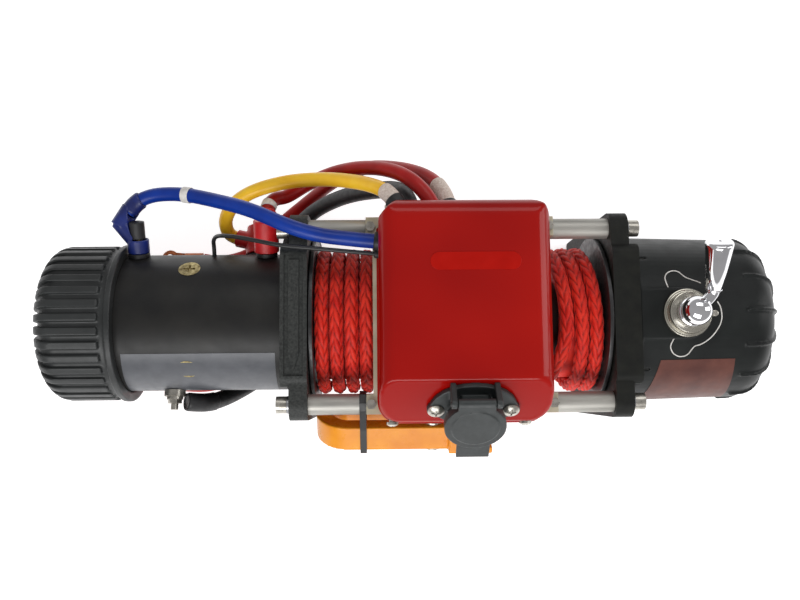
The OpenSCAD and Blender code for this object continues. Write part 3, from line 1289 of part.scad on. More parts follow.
module hook_pins() color("silver") on_hook() {
    translate([clevis_pin_u, shank_v, -clevis_t / 2 - clevis_head_t]) {
        cylinder(h = clevis_head_t, d = clevis_head_d);
        cylinder(h = clevis_t + clevis_head_t + clevis_reach, d = clevis_pin_d);
    }
    translate([clevis_pin_u - cotter_len / 2, shank_v, clevis_t / 2 + clevis_reach / 2]) rotate([0, 90, 0])
        cylinder(h = cotter_len, d = cotter_d);
    translate([latch_pin_u, latch_pin_v, -hook_t / 2 - latch_t - gap])
        cylinder(h = hook_t + 2 * latch_t + 2 * gap, d = latch_pin_d);
}
module hook_latch() color("silver") on_hook() translate([latch_pin_u, latch_pin_v, 0]) rotate(latch_rest) difference() {
    union() {
        for (s = [-1, 1]) translate([0, 0, s * (hook_t / 2 + gap + latch_t / 2) - latch_t / 2]) linear_extrude(latch_t) {
            circle(latch_ear);
            translate([0, -latch_ear]) square([latch_bridge + latch_t, 2 * latch_ear]);
        }
        translate([latch_root, latch_ear - latch_t, -hook_t / 2 - gap - over])
            cube([latch_bridge - latch_root, latch_t, hook_t + 2 * gap + 2 * over]);
        translate([latch_root, latch_ear - latch_t, -latch_tip_w / 2])
            cube([latch_reach - latch_root, latch_t, latch_tip_w]);
    }
    translate([0, 0, -hook_t]) cylinder(h = 2 * hook_t, d = latch_pin_d + 2 * fit);
}
// a strap round the front tie bar and the hook, drawn in Y and Z
module zip_tie() color([0.06, 0.06, 0.06]) translate([tie_x - tie_w / 2, 0, 0]) rotate([90, 0, 90]) {
    count = len(tie_way);
    middle = [for (c = [0, 1]) (tie_way[0][c] + tie_way[count / 2][c]) / 2];
    outer = [for (q = tie_way) q + unit(q - middle) * tie_t];
    linear_extrude(tie_w) difference() {
        polygon(outer);
        polygon(tie_way);
    }
    translate([-bar_y - tie_head / 2, bar_z - bar_d / 2 - tie_head, -gap]) cube([tie_head, tie_head / 2, tie_w + 2 * gap]);
}

motor_end_cap();
motor_housing();
motor_end_bell();
end_screws();
pole_screws();
pole_shoes();
field_coils();
armature();
brush_gear();
bronze_bushes();
terminal_insulators();
terminal_studs();
earth_stud();
motor_drum_support();
gear_drum_support();
front_tie_bar();
rear_tie_bar();
tie_bar_screws();
spring_washers();
drum();
rope_core();
rope_winding();
drive_shaft();
brake_pads();
gear_housing();
gear_housing_screws();
ring_gear();
sun_gear();
planet_gear_1();
planet_gear_2();
planet_gear_3();
planet_carrier();
input_stages();
clutch_collar();
clutch_lever();
clutch_pin();
clutch_spring();
control_box_cover();
control_box_base();
bracket_bolts();
cover_screws();
contactor();
socket_body();
socket_cap();
socket_contacts();
blue_lead();
yellow_lead();
red_lead();
earth_lead();
sensor_wire();
battery_lead();
battery_lead_hank();
battery_ring_terminal();
rope_tail();
rope_thimble();
clevis_hook();
hook_pins();
hook_latch();
zip_tie();
lead_boots();
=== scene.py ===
"""Looks of the electric recovery winch: camera, cords, materials, detailed pieces and light.

The solids come with the frame. What is made here lies round them and moves with the same bodies.
"""
import math

import bpy
import numpy as np
from mathutils import Matrix, Vector


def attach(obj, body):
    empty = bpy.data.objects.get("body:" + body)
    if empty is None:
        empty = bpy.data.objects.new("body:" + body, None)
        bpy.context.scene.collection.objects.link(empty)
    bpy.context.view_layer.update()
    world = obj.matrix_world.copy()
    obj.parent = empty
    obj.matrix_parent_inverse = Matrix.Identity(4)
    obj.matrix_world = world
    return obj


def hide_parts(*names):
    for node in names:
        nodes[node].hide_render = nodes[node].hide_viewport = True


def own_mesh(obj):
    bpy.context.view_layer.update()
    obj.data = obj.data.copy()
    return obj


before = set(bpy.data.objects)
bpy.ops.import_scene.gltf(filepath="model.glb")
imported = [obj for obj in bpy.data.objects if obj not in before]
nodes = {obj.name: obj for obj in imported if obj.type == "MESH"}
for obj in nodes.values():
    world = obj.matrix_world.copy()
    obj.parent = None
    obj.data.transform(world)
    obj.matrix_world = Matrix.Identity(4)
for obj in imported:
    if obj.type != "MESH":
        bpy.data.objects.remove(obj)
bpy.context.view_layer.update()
MM = 0.001

# sizes and places that the CAD source has too, in millimetres
AXIS_Z = 90.0
LEAD_D = 11.5
EARTH_D = 14.0
WIRE_D = 3.5
ROPE_D = 11.0
MOTOR_R = 56.0
OUTER_X = 137.25
GEAR_R, GEAR_TAPER, GEAR_LEN = 67.8, 2.3, 88.0
BOX_Z = 153.0
BOX_H = 45.5
CLUTCH_X, CLUTCH_Y, HUB_Z = 172, -1, 165.3
HUB_R = 11
# where the clutch lever's arm starts and bends, and the point that its grip aims at
ARM_FROM, ARM_TO, GRIP_TO = (175.5, 2.8, 177.5), (183, 11, 180), (179.5, 46.4, 205)
ARM_R = 4.5
GRIP_START = 3.2
# radius of the grip along it: a seam, a straight taper, a rolled rim and a crowned end
GRIP_OUTLINE = [(0, 4.5), (0.2, 5.4), (0.9, 6.0), (1.5, 6.1), (1.9, 5.8), (2.3, 6.1), (20, 8.05),
                (36.5, 9.8), (37.6, 9.85), (38.5, 9.55), (39.1, 8.9), (39.5, 7.8), (39.9, 5.5),
                (40.1, 3.0), (40.2, 0.2)]
# spans of a smooth line between two chosen points, and how far a lead's skin lies inside its solid
LINE_STEPS = 8
SKIN_IN = 0.05

# the leads' and the rope end's courses, as in the CAD source
BLUE_ROUTE = [[-52, 54, 161], [-66, 55, 160.5], [-84, 57, 160], [-107, 60, 161], [-130, 67, 160.5],
              [-160, 81, 153], [-190, 92, 138], [-217, 99.5, 127], [-238, 101, 121.5], [-251, 98.5, 119],
              [-258.5, 93.5, 118.2], [-264.1, 86.2, 118.1]]
YELLOW_ROUTE = [[-44, 68, 173], [-48, 80, 173], [-57, 92, 167], [-71, 101, 153], [-90, 108, 137],
                [-110, 112, 125], [-134, 112, 118], [-156, 108, 114], [-172, 102.5, 109], [-184, 95, 101],
                [-190.5, 87, 91], [-191.5, 80.5, 82], [-189.5, 76.6, 75], [-184.5, 74.1, 72],
                [-180, 73, 72.4]]
RED_ROUTE = [[-15, 62, 172], [-20, 76, 173], [-28, 90, 172], [-40, 103, 165], [-56, 113, 151],
             [-76, 119, 133], [-98, 120, 115], [-120, 114, 103], [-138, 104.5, 98.5], [-148, 101, 103],
             [-152.5, 94, 107.7], [-153, 83.5, 112.6]]
EARTH_ROUTE = [[-37, 64, 161], [-38, 80, 161], [-42, 93, 150], [-50, 102, 130], [-64, 107, 107],
               [-82, 110, 83], [-100, 110, 60], [-118, 106, 39], [-134, 97, 22], [-145, 82, 11],
               [-148.5, 60, 8.2], [-148.5, 30, 8.5], [-149, 5, 9], [-150.5, -12, 12], [-154.5, -26, 19],
               [-162, -38, 29.5], [-172, -48, 41], [-183, -56, 54.5], [-192, -61.5, 67.5],
               [-199.5, -64.8, 79], [-208, -66, 89.5], [-219.6, -65, 97.5]]
WIRE_ROUTE = [[-54, 45, 157.5], [-68, 46, 158.5], [-90, 48, 159], [-112, 50, 160], [-136, 52.5, 159.5],
              [-155, 57, 154.5], [-170, 61, 147.5], [-183, 64, 138], [-191, 65.5, 127], [-195.3, 64, 117],
              [-196, 58.9, 111.4], [-196, 49.3, 107.9]]
BATTERY_ROUTE = [[-8, 66, 162], [-9, 80, 162], [-13, 94, 156], [-21, 107, 144], [-34, 117, 129],
                 [-50, 125, 111], [-68, 131, 91], [-86, 132, 70], [-104, 128, 48], [-121, 121, 28],
                 [-136, 113, 14], [-149, 104, 8], [-161, 93, 6.5], [-172, 80.5, 6], [-186, 70, 5.9],
                 [-204, 64.5, 5.8], [-223.5, 63.9, 5.8]]
TAIL_ROUTE = [[94, -35, 28], [84, -47, 33], [72, -57.5, 41], [60, -65.5, 51], [49.5, -70, 62],
              [40.5, -72, 73], [32.5, -74, 85], [26, -76.5, 94.5], [21.2, -79.8, 101.2],
              [17.2, -83.3, 107.2]]


def make_camera():
    """The camera that the photograph was taken with, solved from the winch's own edges."""
    turn = Matrix.Identity(3)
    for axis, angle in (("X", 0.104), ("Y", -0.021), ("Z", -0.0101)):
        turn = Matrix.Rotation(angle, 3, axis) @ turn
    data = bpy.data.cameras.new("photo_camera")
    data.sensor_width = 36.0
    data.lens = 37.08
    data.clip_start = 0.01
    camera = bpy.data.objects.new("photo_camera", data)
    camera.matrix_world = Matrix.Translation((-0.06006, -0.05392, 0.77567)) @ turn.to_4x4()
    bpy.context.scene.collection.objects.link(camera)
    bpy.context.scene.camera = camera


def linear(r, g, b):
    """A colour written as 0 to 255, as the shader wants it."""
    shares = (v / 255.0 for v in (r, g, b))
    return tuple(v / 12.92 if v <= 0.04045 else ((v + 0.055) / 1.055) ** 2.4 for v in shares) + (1.0,)


# how points become smooth lines and tubes

def smooth_line(points, steps):
    """The curve that the CAD source draws through chosen points, with so many steps a span."""
    p = np.array(points, float)
    line = []
    for i in range(len(p) - 1):
        a, b, c, d = p[max(i - 1, 0)], p[i], p[i + 1], p[min(i + 2, len(p) - 1)]
        for j in range(steps):
            s = j / steps
            line.append(0.5 * (2 * b + (c - a) * s + (2 * a - 5 * b + 4 * c - d) * s * s
                               + (3 * b - a - 3 * c + d) * s ** 3))
    line.append(p[-1])
    return np.array(line)


def carried_frames(line, first):
    """Two directions across the line that don't twist along it."""
    ahead = np.empty_like(line)
    ahead[1:-1] = line[2:] - line[:-2]
    ahead[0] = line[1] - line[0]
    ahead[-1] = line[-1] - line[-2]
    ahead /= np.linalg.norm(ahead, axis=1)[:, None]
    side = np.empty_like(line)
    n = np.array(first, float)
    for i, t in enumerate(ahead):
        n = n - (n @ t) * t
        n /= np.linalg.norm(n)
        side[i] = n
    return side, np.cross(ahead, side)


def run_lengths(line):
    """How far along the line each of its points is."""
    return np.concatenate([[0], np.cumsum(np.linalg.norm(np.diff(line, axis=0), axis=1))])


def at_lengths(line, marks):
    """The line's points at these lengths along it."""
    reach = run_lengths(line)
    return np.stack([np.interp(marks, reach, line[:, k]) for k in range(3)], axis=1)


def relaxed(line, rounds):
    """The line with its kinks evened out and its ends kept."""
    for _ in range(rounds):
        line[1:-1] = 0.25 * line[:-2] + 0.5 * line[1:-1] + 0.25 * line[2:]
    return line


def ring_points(line, radii, first, sides):
    """Rings of points round a line; radii has one row for each ring."""
    side, up = carried_frames(line, first)
    turns = 2 * np.pi * np.arange(sides) / sides
    across = np.cos(turns)[None, :, None] * side[:, None] + np.sin(turns)[None, :, None] * up[:, None]
    return line[:, None] + radii[:, :, None] * across


def link_mesh(name, vertices, faces):
    """A smooth mesh object in metres from points in millimetres."""
    mesh = bpy.data.meshes.new(name)
    mesh.from_pydata([tuple(v) for v in np.asarray(vertices, float) * MM], [], [tuple(f) for f in faces])
    mesh.validate()
    mesh.update()
    mesh.shade_smooth()
    piece = bpy.data.objects.new(name, mesh)
    bpy.context.scene.collection.objects.link(piece)
    return piece


def grid_faces(rows, sides):
    """Quads of a tube of so many rings, and one face at each end."""
    faces = []
    for i in range(rows - 1):
        for k in range(sides):
            k2 = (k + 1) % sides
            faces.append((i * sides + k2, (i + 1) * sides + k2, (i + 1) * sides + k, i * sides + k))
    faces.append(tuple(range(sides)))
    faces.append(tuple(range(rows * sides - 1, (rows - 1) * sides - 1, -1)))
    return faces


def sweep(name, line, radii, sides=20, first=(0, 0, 1)):
    """A tube along a line; radii is one number or one for each point."""
    line = np.asarray(line, float)
    radii = np.broadcast_to(np.asarray(radii, float), (len(line),))
    rings = ring_points(line, radii[:, None], first, sides)
    return link_mesh(name, rings.reshape(-1, 3), grid_faces(len(line), sides))


def lathe(name, profile, centre, sides=64):
    """A piece turned about an upright axis: profile is (radius, height) pairs over the centre."""
    vertices, faces = [], []
    for r, h in profile:
        for k in range(sides):
            a = 2 * math.pi * k / sides
            vertices.append((centre[0] + r * math.cos(a), centre[1] + r * math.sin(a), centre[2] + h))
    rows = len(profile)
    for i in range(rows - 1):
        for k in range(sides):
            k2 = (k + 1) % sides
            faces.append((i * sides + k, i * sides + k2, (i + 1) * sides + k2, (i + 1) * sides + k))
    faces.append(tuple(range(sides - 1, -1, -1)))
    faces.append(tuple(range((rows - 1) * sides, rows * sides)))
    return link_mesh(name, vertices, faces)


def rounded_profile(points, radius, steps=5):
    """A profile whose inner corners are rounded, so that turned edges catch the light."""
    p = [np.array(q, float) for q in points]
    out = [tuple(p[0])]
    for a, b, c in zip(p, p[1:], p[2:]):
        r = min(radius, 0.45 * np.linalg.norm(b - a), 0.45 * np.linalg.norm(c - b))
        start = b + (a - b) / np.linalg.norm(a - b) * r
        end = b + (c - b) / np.linalg.norm(c - b) * r
        for j in range(steps + 1):
            s = j / steps
            out.append(tuple((1 - s) ** 2 * start + 2 * s * (1 - s) * b + s * s * end))
    out.append(tuple(p[-1]))
    return out


def sharpen(piece, angle):
    """Smooth shading that stops at edges sharper than the angle, in degrees."""
    for polygon in piece.data.polygons:
        polygon.use_smooth = True
    piece.data.set_sharp_from_angle(angle=math.radians(angle))


def bevel(piece, width, segments=2, angle=35):
    """Small rounded edges, as cast and machined parts have, of this width in millimetres."""
    weld = piece.modifiers.new("weld", "WELD")
    weld.merge_threshold = 0.00002
    edge = piece.modifiers.new("bevel", "BEVEL")
    edge.width = width * MM
    edge.segments = segments
    edge.limit_method = "ANGLE"
    edge.angle_limit = math.radians(angle)
    edge.harden_normals = False
    edge.use_clamp_overlap = True
    normal = piece.modifiers.new("normals", "WEIGHTED_NORMAL")
    normal.keep_sharp = True


# materials

class Recipe:
    """A node material under construction."""

    def __init__(self, name):
        self.material = bpy.data.materials.new(name)
        self.material.use_nodes = True
        self.tree = self.material.node_tree
        self.shader = self.tree.nodes["Principled BSDF"]
        self.place = self.tree.nodes.new("ShaderNodeTexCoord").outputs["Object"]

    def link(self, a, b):
        """Join an output to an input."""
        self.tree.links.new(a, b)

    def stretched(self, scale):
        """Object coordinates stretched by a factor along each axis."""
        node = self.tree.nodes.new("ShaderNodeMapping")
        node.inputs["Scale"].default_value = scale
        self.link(self.place, node.inputs["Vector"])
        return node.outputs["Vector"]

    def noise(self, size_mm, detail=3.0, place=None):
        """Cloudy values with features of about that size."""
        node = self.tree.nodes.new("ShaderNodeTexNoise")
        node.inputs["Scale"].default_value = 1000.0 / size_mm
        node.inputs["Detail"].default_value = detail
        self.link(place or self.place, node.inputs["Vector"])
        return node.outputs["Fac"]

    def ramp(self, value, stops):
        """Colours by value: stops are (place, colour)."""
        node = self.tree.nodes.new("ShaderNodeValToRGB")
        elements = node.color_ramp.elements
        while len(elements) < len(stops):
            elements.new(0.5)
        for element, (place, colour) in zip(elements, stops):
            element.position = place
            element.color = colour
        self.link(value, node.inputs["Fac"])
        return node.outputs["Color"]

    def spread(self, value, low, high):
        """The value's usual range of 0.3 to 0.7 carried to low to high."""
        node = self.tree.nodes.new("ShaderNodeMapRange")
        node.inputs["From Min"].default_value = 0.3
        node.inputs["From Max"].default_value = 0.7
        node.inputs["To Min"].default_value = low
        node.inputs["To Max"].default_value = high
        self.link(value, node.inputs["Value"])
        return node.outputs["Result"]

    def bump(self, value, height_mm, strength=1.0):
        """Relief of that height from a value."""
        node = self.tree.nodes.new("ShaderNodeBump")
        node.inputs["Distance"].default_value = height_mm * MM
        node.inputs["Strength"].default_value = strength
        self.link(value, node.inputs["Height"])
        return node.outputs["Normal"]

    def set(self, **values):
        """Numbers and colours on the shader's own sockets."""
        for key, value in values.items():
            self.shader.inputs[key.replace("_", " ")].default_value = value


def painted(name, dark, light, cloud_mm, rough, grain_mm=0.0, grain_height=0.0, metallic=0.0, coat=0.0,
            coat_rough=0.1, stretch=None, specular=0.5):
    """A surface of two near colours in clouds, with a range of roughness and a fine grain."""
    recipe = Recipe(name)
    place = recipe.stretched(stretch) if stretch else recipe.place
    cloud = recipe.noise(cloud_mm, 4.0, place)
    recipe.link(recipe.ramp(cloud, [(0.32, dark), (0.68, light)]), recipe.shader.inputs["Base Color"])
    worn = recipe.noise(cloud_mm / 3, 4.0, place)
    recipe.link(recipe.spread(worn, *rough), recipe.shader.inputs["Roughness"])
    if grain_mm:
        grain = recipe.noise(grain_mm, 2.0, place)
        recipe.link(recipe.bump(grain, grain_height), recipe.shader.inputs["Normal"])
    recipe.set(Metallic=metallic, Coat_Weight=coat, Coat_Roughness=coat_rough,
               Specular_IOR_Level=specular)
    return recipe.material


def cover_paint():
    """Deep glossy red, thicker and darker in broad clouds, with the slight ripple of sprayed paint."""
    recipe = Recipe("cover_paint")
    cloud = recipe.noise(80, 1.0)
    recipe.link(recipe.ramp(cloud, [(0.35, linear(144, 4, 0)), (0.7, linear(160, 11, 2))]),
                recipe.shader.inputs["Base Color"])
    ripple = recipe.noise(45, 0.0)
    recipe.link(recipe.bump(ripple, 0.4, 0.3), recipe.shader.inputs["Normal"])
    sheen = recipe.noise(60, 1.0)
    recipe.link(recipe.spread(sheen, 0.3, 0.36), recipe.shader.inputs["Roughness"])
    recipe.set(Coat_Weight=0.32, Coat_Roughness=0.05, Specular_IOR_Level=0.08)
    return recipe.material


def rope_fibre():
    """Bright red braided fibre with painted shade, a deep red, in the grooves between strands, and fine
    filaments.
    """
    recipe = Recipe("rope_fibre")
    worn = recipe.noise(14, 4.0)
    base = recipe.ramp(worn, [(0.3, linear(198, 24, 14)), (0.72, linear(232, 52, 32))])
    # painted shade: a value taken from the braid's shape darkens the colour in the low places between
    # strands
    groove_shade = recipe.tree.nodes.new("ShaderNodeAttribute")
    groove_shade.attribute_name = "groove_shade"
    # of a colour mix, inputs 6 and 7 are the two colours and output 2 is the mixed one
    mix = recipe.tree.nodes.new("ShaderNodeMix")
    mix.data_type = "RGBA"
    recipe.link(groove_shade.outputs["Fac"], mix.inputs["Factor"])
    recipe.link(base, mix.inputs[6])
    # the deep red of the painted shade between the strands
    mix.inputs[7].default_value = linear(84, 4, 4)
    recipe.link(mix.outputs[2], recipe.shader.inputs["Base Color"])
    fibre = recipe.noise(0.7, 3.0)
    recipe.link(recipe.bump(fibre, 0.12, 0.6), recipe.shader.inputs["Normal"])
    recipe.link(recipe.spread(fibre, 0.5, 0.7), recipe.shader.inputs["Roughness"])
    recipe.set(Sheen_Weight=0.1, Sheen_Roughness=0.4, Specular_IOR_Level=0.3)
    return recipe.material


# each finish: its dark and light colour, the size of their clouds, the roughness's ends, the grain's
# size and height (sizes in millimetres), and what else differs from a plain painted surface
FINISHES = {
    "motor_black": ((24, 24, 24), (36, 35, 33), 30, (0.4, 0.48), 0.5, 0.02, dict(specular=0.28)),
    "cap_black": ((36, 38, 38), (48, 50, 50), 24, (0.38, 0.48), 0.6, 0.02, dict(specular=0.4)),
    "support_grey": ((34, 36, 35), (58, 60, 58), 1.6, (0.48, 0.64), 0.9, 0.1, dict(specular=0.3)),
    "support_black": ((18, 19, 17), (27, 28, 24), 8, (0.5, 0.62), 0.8, 0.05, dict(specular=0.2)),
    "gear_black": ((19, 21, 21), (28, 31, 30), 30, (0.38, 0.48), 0.8, 0.03, dict(specular=0.22)),
    "drum_black": ((20, 20, 22), (34, 33, 34), 12, (0.3, 0.5), 0.6, 0.03, {}),
    "bar_metal": ((150, 148, 142), (182, 180, 173), 7, (0.46, 0.56), 0, 0,
                  dict(metallic=0.7, stretch=(0.12, 1, 1))),
    "screw_metal": ((150, 146, 138), (196, 192, 182), 5, (0.26, 0.36), 0, 0, dict(metallic=0.9)),
    "steel": ((120, 120, 122), (170, 170, 172), 6, (0.25, 0.4), 0.4, 0.01, dict(metallic=0.9)),
    "chrome": ((214, 214, 216), (232, 232, 234), 20, (0.03, 0.07), 0, 0, dict(metallic=1.0)),
    "collar_metal": ((172, 168, 156), (196, 192, 180), 14, (0.22, 0.28), 0, 0, dict(metallic=0.95)),
    "plated_yellow": ((186, 178, 152), (206, 198, 174), 16, (0.34, 0.46), 0.5, 0.01, dict(metallic=0.5)),
    "plated_gold": ((120, 104, 62), (206, 190, 136), 3, (0.25, 0.45), 0.4, 0.02, dict(metallic=0.8)),
    "copper": ((150, 84, 52), (196, 122, 84), 6, (0.3, 0.5), 0.5, 0.02, dict(metallic=0.8)),
    "bronze": ((150, 116, 62), (186, 150, 90), 6, (0.35, 0.5), 0.5, 0.02, dict(metallic=0.8)),
    "brake": ((92, 78, 58), (128, 110, 84), 3, (0.7, 0.9), 0.8, 0.08, {}),
    "phenolic": ((110, 72, 40), (140, 96, 58), 6, (0.5, 0.65), 0.8, 0.02, {}),
    "plastic_black": ((24, 25, 26), (36, 37, 38), 12, (0.36, 0.5), 0.5, 0.02, {}),
    "socket_black": ((38, 42, 42), (50, 54, 54), 10, (0.42, 0.54), 0.5, 0.03, {}),
    "rubber_black": ((20, 20, 22), (34, 34, 36), 9, (0.42, 0.6), 0.7, 0.03, {}),
    "lead_blue": ((6, 42, 128), (12, 56, 154), 26, (0.3, 0.4), 0.9, 0.02, dict(specular=0.3)),
    "lead_yellow": ((244, 182, 30), (255, 208, 58), 26, (0.28, 0.4), 0.9, 0.02, dict(specular=0.35)),
    "lead_red": ((146, 14, 12), (174, 26, 22), 26, (0.3, 0.42), 0.9, 0.02, dict(specular=0.3)),
    "boot_red": ((178, 18, 24), (206, 34, 38), 14, (0.32, 0.46), 1.2, 0.04, {}),
    "boot_blue": ((14, 26, 84), (22, 40, 112), 14, (0.3, 0.44), 1.2, 0.04, {}),
    "marking_white": ((206, 202, 196), (232, 230, 226), 4, (0.5, 0.65), 0.6, 0.03, {}),
    "braid_sleeve": ((196, 176, 162), (228, 216, 206), 1.4, (0.6, 0.8), 1.0, 0.15, {}),
    "hook_paint": ((226, 136, 22), (242, 158, 36), 22, (0.24, 0.36), 1.4, 0.03,
                   dict(coat=0.15, coat_rough=0.2, specular=0.3)),
    "label_grey": ((72, 74, 79), (84, 86, 91), 12, (0.34, 0.44), 0.5, 0.01, {}),
    "label_red": ((80, 44, 38), (102, 60, 50), 18, (0.38, 0.48), 0.5, 0.01, dict(specular=0.3)),
    "label_cover": ((158, 10, 2), (170, 16, 6), 20, (0.4, 0.5), 0.5, 0.01, dict(specular=0.1)),
}


def make_materials():
    """Every finish by its name."""
    made = {name: painted(name, linear(*dark), linear(*light), *sizes, **more)
            for name, (dark, light, *sizes, more) in FINISHES.items()}
    made["cover_paint"] = cover_paint()
    made["rope_fibre"] = rope_fibre()
    return made


NODE_MATERIALS = {
    "motor_end_cap": "cap_black", "motor_housing": "motor_black", "motor_end_bell": "steel",
    "end_screws": "screw_metal", "pole_screws": "plated_gold", "pole_shoes": "steel",
    "field_coils": "copper", "armature": "copper", "brush_gear": "phenolic", "bronze_bushes": "bronze",
    "terminal_insulators": "rubber_black", "terminal_studs": "plated_gold", "earth_stud": "screw_metal",
    "motor_drum_support": "support_grey", "gear_drum_support": "support_black",
    "front_tie_bar": "bar_metal", "rear_tie_bar": "bar_metal", "tie_bar_screws": "screw_metal",
    "spring_washers": "steel", "drum": "drum_black", "rope_core": "rope_fibre",
    "rope_winding": "rope_fibre", "drive_shaft": "steel", "brake_pads": "brake",
    "gear_housing": "gear_black", "gear_housing_screws": "support_black", "ring_gear": "steel",
    "sun_gear": "steel", "planet_gear_1": "steel", "planet_gear_2": "steel", "planet_gear_3": "steel",
    "planet_carrier": "steel", "input_stages": "steel", "clutch_collar": "collar_metal",
    "clutch_lever": "chrome", "clutch_pin": "steel", "clutch_spring": "steel",
    "control_box_cover": "cover_paint", "control_box_base": "plated_yellow",
    "bracket_bolts": "screw_metal", "cover_screws": "screw_metal", "contactor": "plastic_black",
    "socket_body": "socket_black", "socket_cap": "socket_black", "socket_contacts": "bronze",
    "blue_lead": "lead_blue", "yellow_lead": "lead_yellow", "red_lead": "lead_red",
    "earth_lead": "rubber_black", "sensor_wire": "plastic_black", "battery_lead": "lead_red",
    "battery_lead_hank": "lead_red", "battery_ring_terminal": "copper", "rope_tail": "rope_fibre",
    "rope_thimble": "bar_metal", "clevis_hook": "hook_paint", "hook_pins": "screw_metal",
    "hook_latch": "screw_metal", "zip_tie": "plastic_black", "lead_boots": "boot_red",
}

# rounded edges of the solids that stay, in millimetres
NODE_BEVELS = {
    "motor_drum_support": 1.0, "gear_drum_support": 1.2, "control_box_base": 0.5,
    "front_tie_bar": 0.4, "rear_tie_bar": 0.4, "tie_bar_screws": 0.8, "zip_tie": 0.3,
    "clutch_collar": 0.8, "spring_washers": 0.3, "earth_stud": 0.4, "drum": 0.5,
    "rope_thimble": 1.0, "battery_ring_terminal": 0.5, "hook_latch": 0.4, "hook_pins": 0.6,
    "bracket_bolts": 0.5, "end_screws": 0.6,
}


def wear_materials(materials):
    """Every solid gets its finish, and those with open edges a small rounding."""
    for name, finish in NODE_MATERIALS.items():
        solid = nodes[name]
        solid.data.materials.clear()
        solid.data.materials.append(materials[finish])
    for name, width in NODE_BEVELS.items():
        bevel(nodes[name], width)


def dress(piece, material, body="frame", replaced=()):
    """A new piece's material, body and the nodes it stands for."""
    piece.data.materials.clear()
    piece.data.materials.append(material)
    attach(piece, body)
    if replaced:
        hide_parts(*replaced)
    return piece


# cords

HANK_X, HANK_Y, HANK_RUN, HANK_LOOPS, HANK_RINGS = -252.0, 4.0, 56.0, 2, 24
HANK_FOLD = 3 * LEAD_D
HANK_PITCH = LEAD_D + 1.2
HANK_LEVEL = LEAD_D + 0.6
CLIMB_SHARE, RUN_SHARE = 0.2, 0.4
RING_STEP = 3.0


def hank_point(u):
    """A place on the hank after u loops: inwards in the lower layer, out again in the upper one."""
    turn = u - math.floor(u)
    radius = HANK_FOLD + HANK_PITCH * abs(HANK_LOOPS - u)
    side = 1 if turn < 0.5 else -1
    part = 2 * turn if turn < 0.5 else 2 * turn - 1
    run = min(1.0, part / RUN_SHARE)
    bend = max(0.0, (part - RUN_SHARE) / (1 - RUN_SHARE)) * math.pi
    climb = min(1.0, max(0.0, u - HANK_LOOPS + CLIMB_SHARE) / (2 * CLIMB_SHARE))
    level = LEAD_D / 2 + HANK_LEVEL * climb
    return [HANK_X + side * (HANK_RUN / 2 - HANK_RUN * run - radius * math.sin(bend)),
            HANK_Y + side * radius * math.cos(bend), level]


def line_length(line):
    """Length of a line in its own units."""
    return float(np.linalg.norm(np.diff(line, axis=0), axis=1).sum())


def make_battery_lead(materials):
    """The free lead: out of the box, down behind the motor support and into a hank under the motor."""
    loops = [hank_point(i / HANK_RINGS) for i in range(2 * HANK_LOOPS * HANK_RINGS + 1)]
    start = smooth_line(BATTERY_ROUTE, 6)
    line = np.vstack([start[:-1], smooth_line(loops, 2)])
    # even spacing keeps the bends round
    total = run_lengths(line)[-1]
    line = relaxed(at_lengths(line, np.linspace(0, total, int(total / RING_STEP))), 4)
    lead = sweep("battery_lead_rubber", line, LEAD_D / 2 - SKIN_IN, 18)
    dress(lead, materials["lead_red"], "frame", ("battery_lead", "battery_lead_hank"))


def make_held_leads(materials):
    """Leads held at both ends, smooth along the CAD's routes."""
    for name, route, diameter, finish in (
            ("blue_lead", BLUE_ROUTE, LEAD_D, "lead_blue"),
            ("yellow_lead", YELLOW_ROUTE, LEAD_D, "lead_yellow"),
            ("red_lead", RED_ROUTE, LEAD_D, "lead_red"),
            ("earth_lead", EARTH_ROUTE, EARTH_D, "rubber_black"),
            ("sensor_wire", WIRE_ROUTE, WIRE_D, "plastic_black")):
        line = relaxed(smooth_line(route, LINE_STEPS), 3)
        tube = sweep(name + "_rubber", line, diameter / 2 - SKIN_IN, 24 if diameter > WIRE_D else 12)
        dress(tube, materials[finish], "frame", (name,))


# rope: the winding is the CAD source's

TURN_PITCH = ROPE_D + 0.6
WOUND_R = 60.0
TURN_R = WOUND_R - ROPE_D / 2
LEFT_TURNS, RIGHT_TURNS = 14, 3
TURNS = LEFT_TURNS + RIGHT_TURNS
TURN_START_X = ROPE_D / 2 + 0.3 - 112.75
STEP_SHARE, LONG_STEP_SHARE = 0.25, 0.5
TURN_END_ANGLE = math.radians(285.0)
RIGHT_LEAN = 6.0
OFF_LEAN, OFF_LEN = -0.1, 40.0
TURN_STEPS = 96
# the wound rope and the free end are cut on cylinders round the drum, with this much between
CUT_GAP, CUT_REACH = 0.3, 60
# the braid: columns of strands round the rope, a strand's length and slant, and its relief
WALES = 6
PLAIT_LEN = 10.5
PLAIT_SLANT = 0.85
STRAND_RISE = 0.3


def turn_place(i):
    """Place along the drum of turn i: a group on the left and one on the right."""
    if i < LEFT_TURNS:
        return TURN_START_X + TURN_PITCH * i
    return -TURN_START_X - TURN_PITCH * (TURNS - 1 - i)


def turn_point(u):
    """The outer layer after u turns: each turn steps over to its place under the drum."""
    i = math.floor(u)
    share = LONG_STEP_SHARE if i == LEFT_TURNS else STEP_SHARE
    x = TURN_START_X if u < 1 else (
        turn_place(i - 1) + (turn_place(i) - turn_place(i - 1)) * min(1.0, (u - i) / share))
    lean = RIGHT_LEAN * min(1.0, max(0.0, (u - LEFT_TURNS) / LONG_STEP_SHARE))
    a = TURN_END_ANGLE + 2 * math.pi * (TURNS - u)
    return [x - lean * ((1 + math.cos(a)) / 2) ** 2, TURN_R * math.cos(a), AXIS_Z + TURN_R * math.sin(a)]


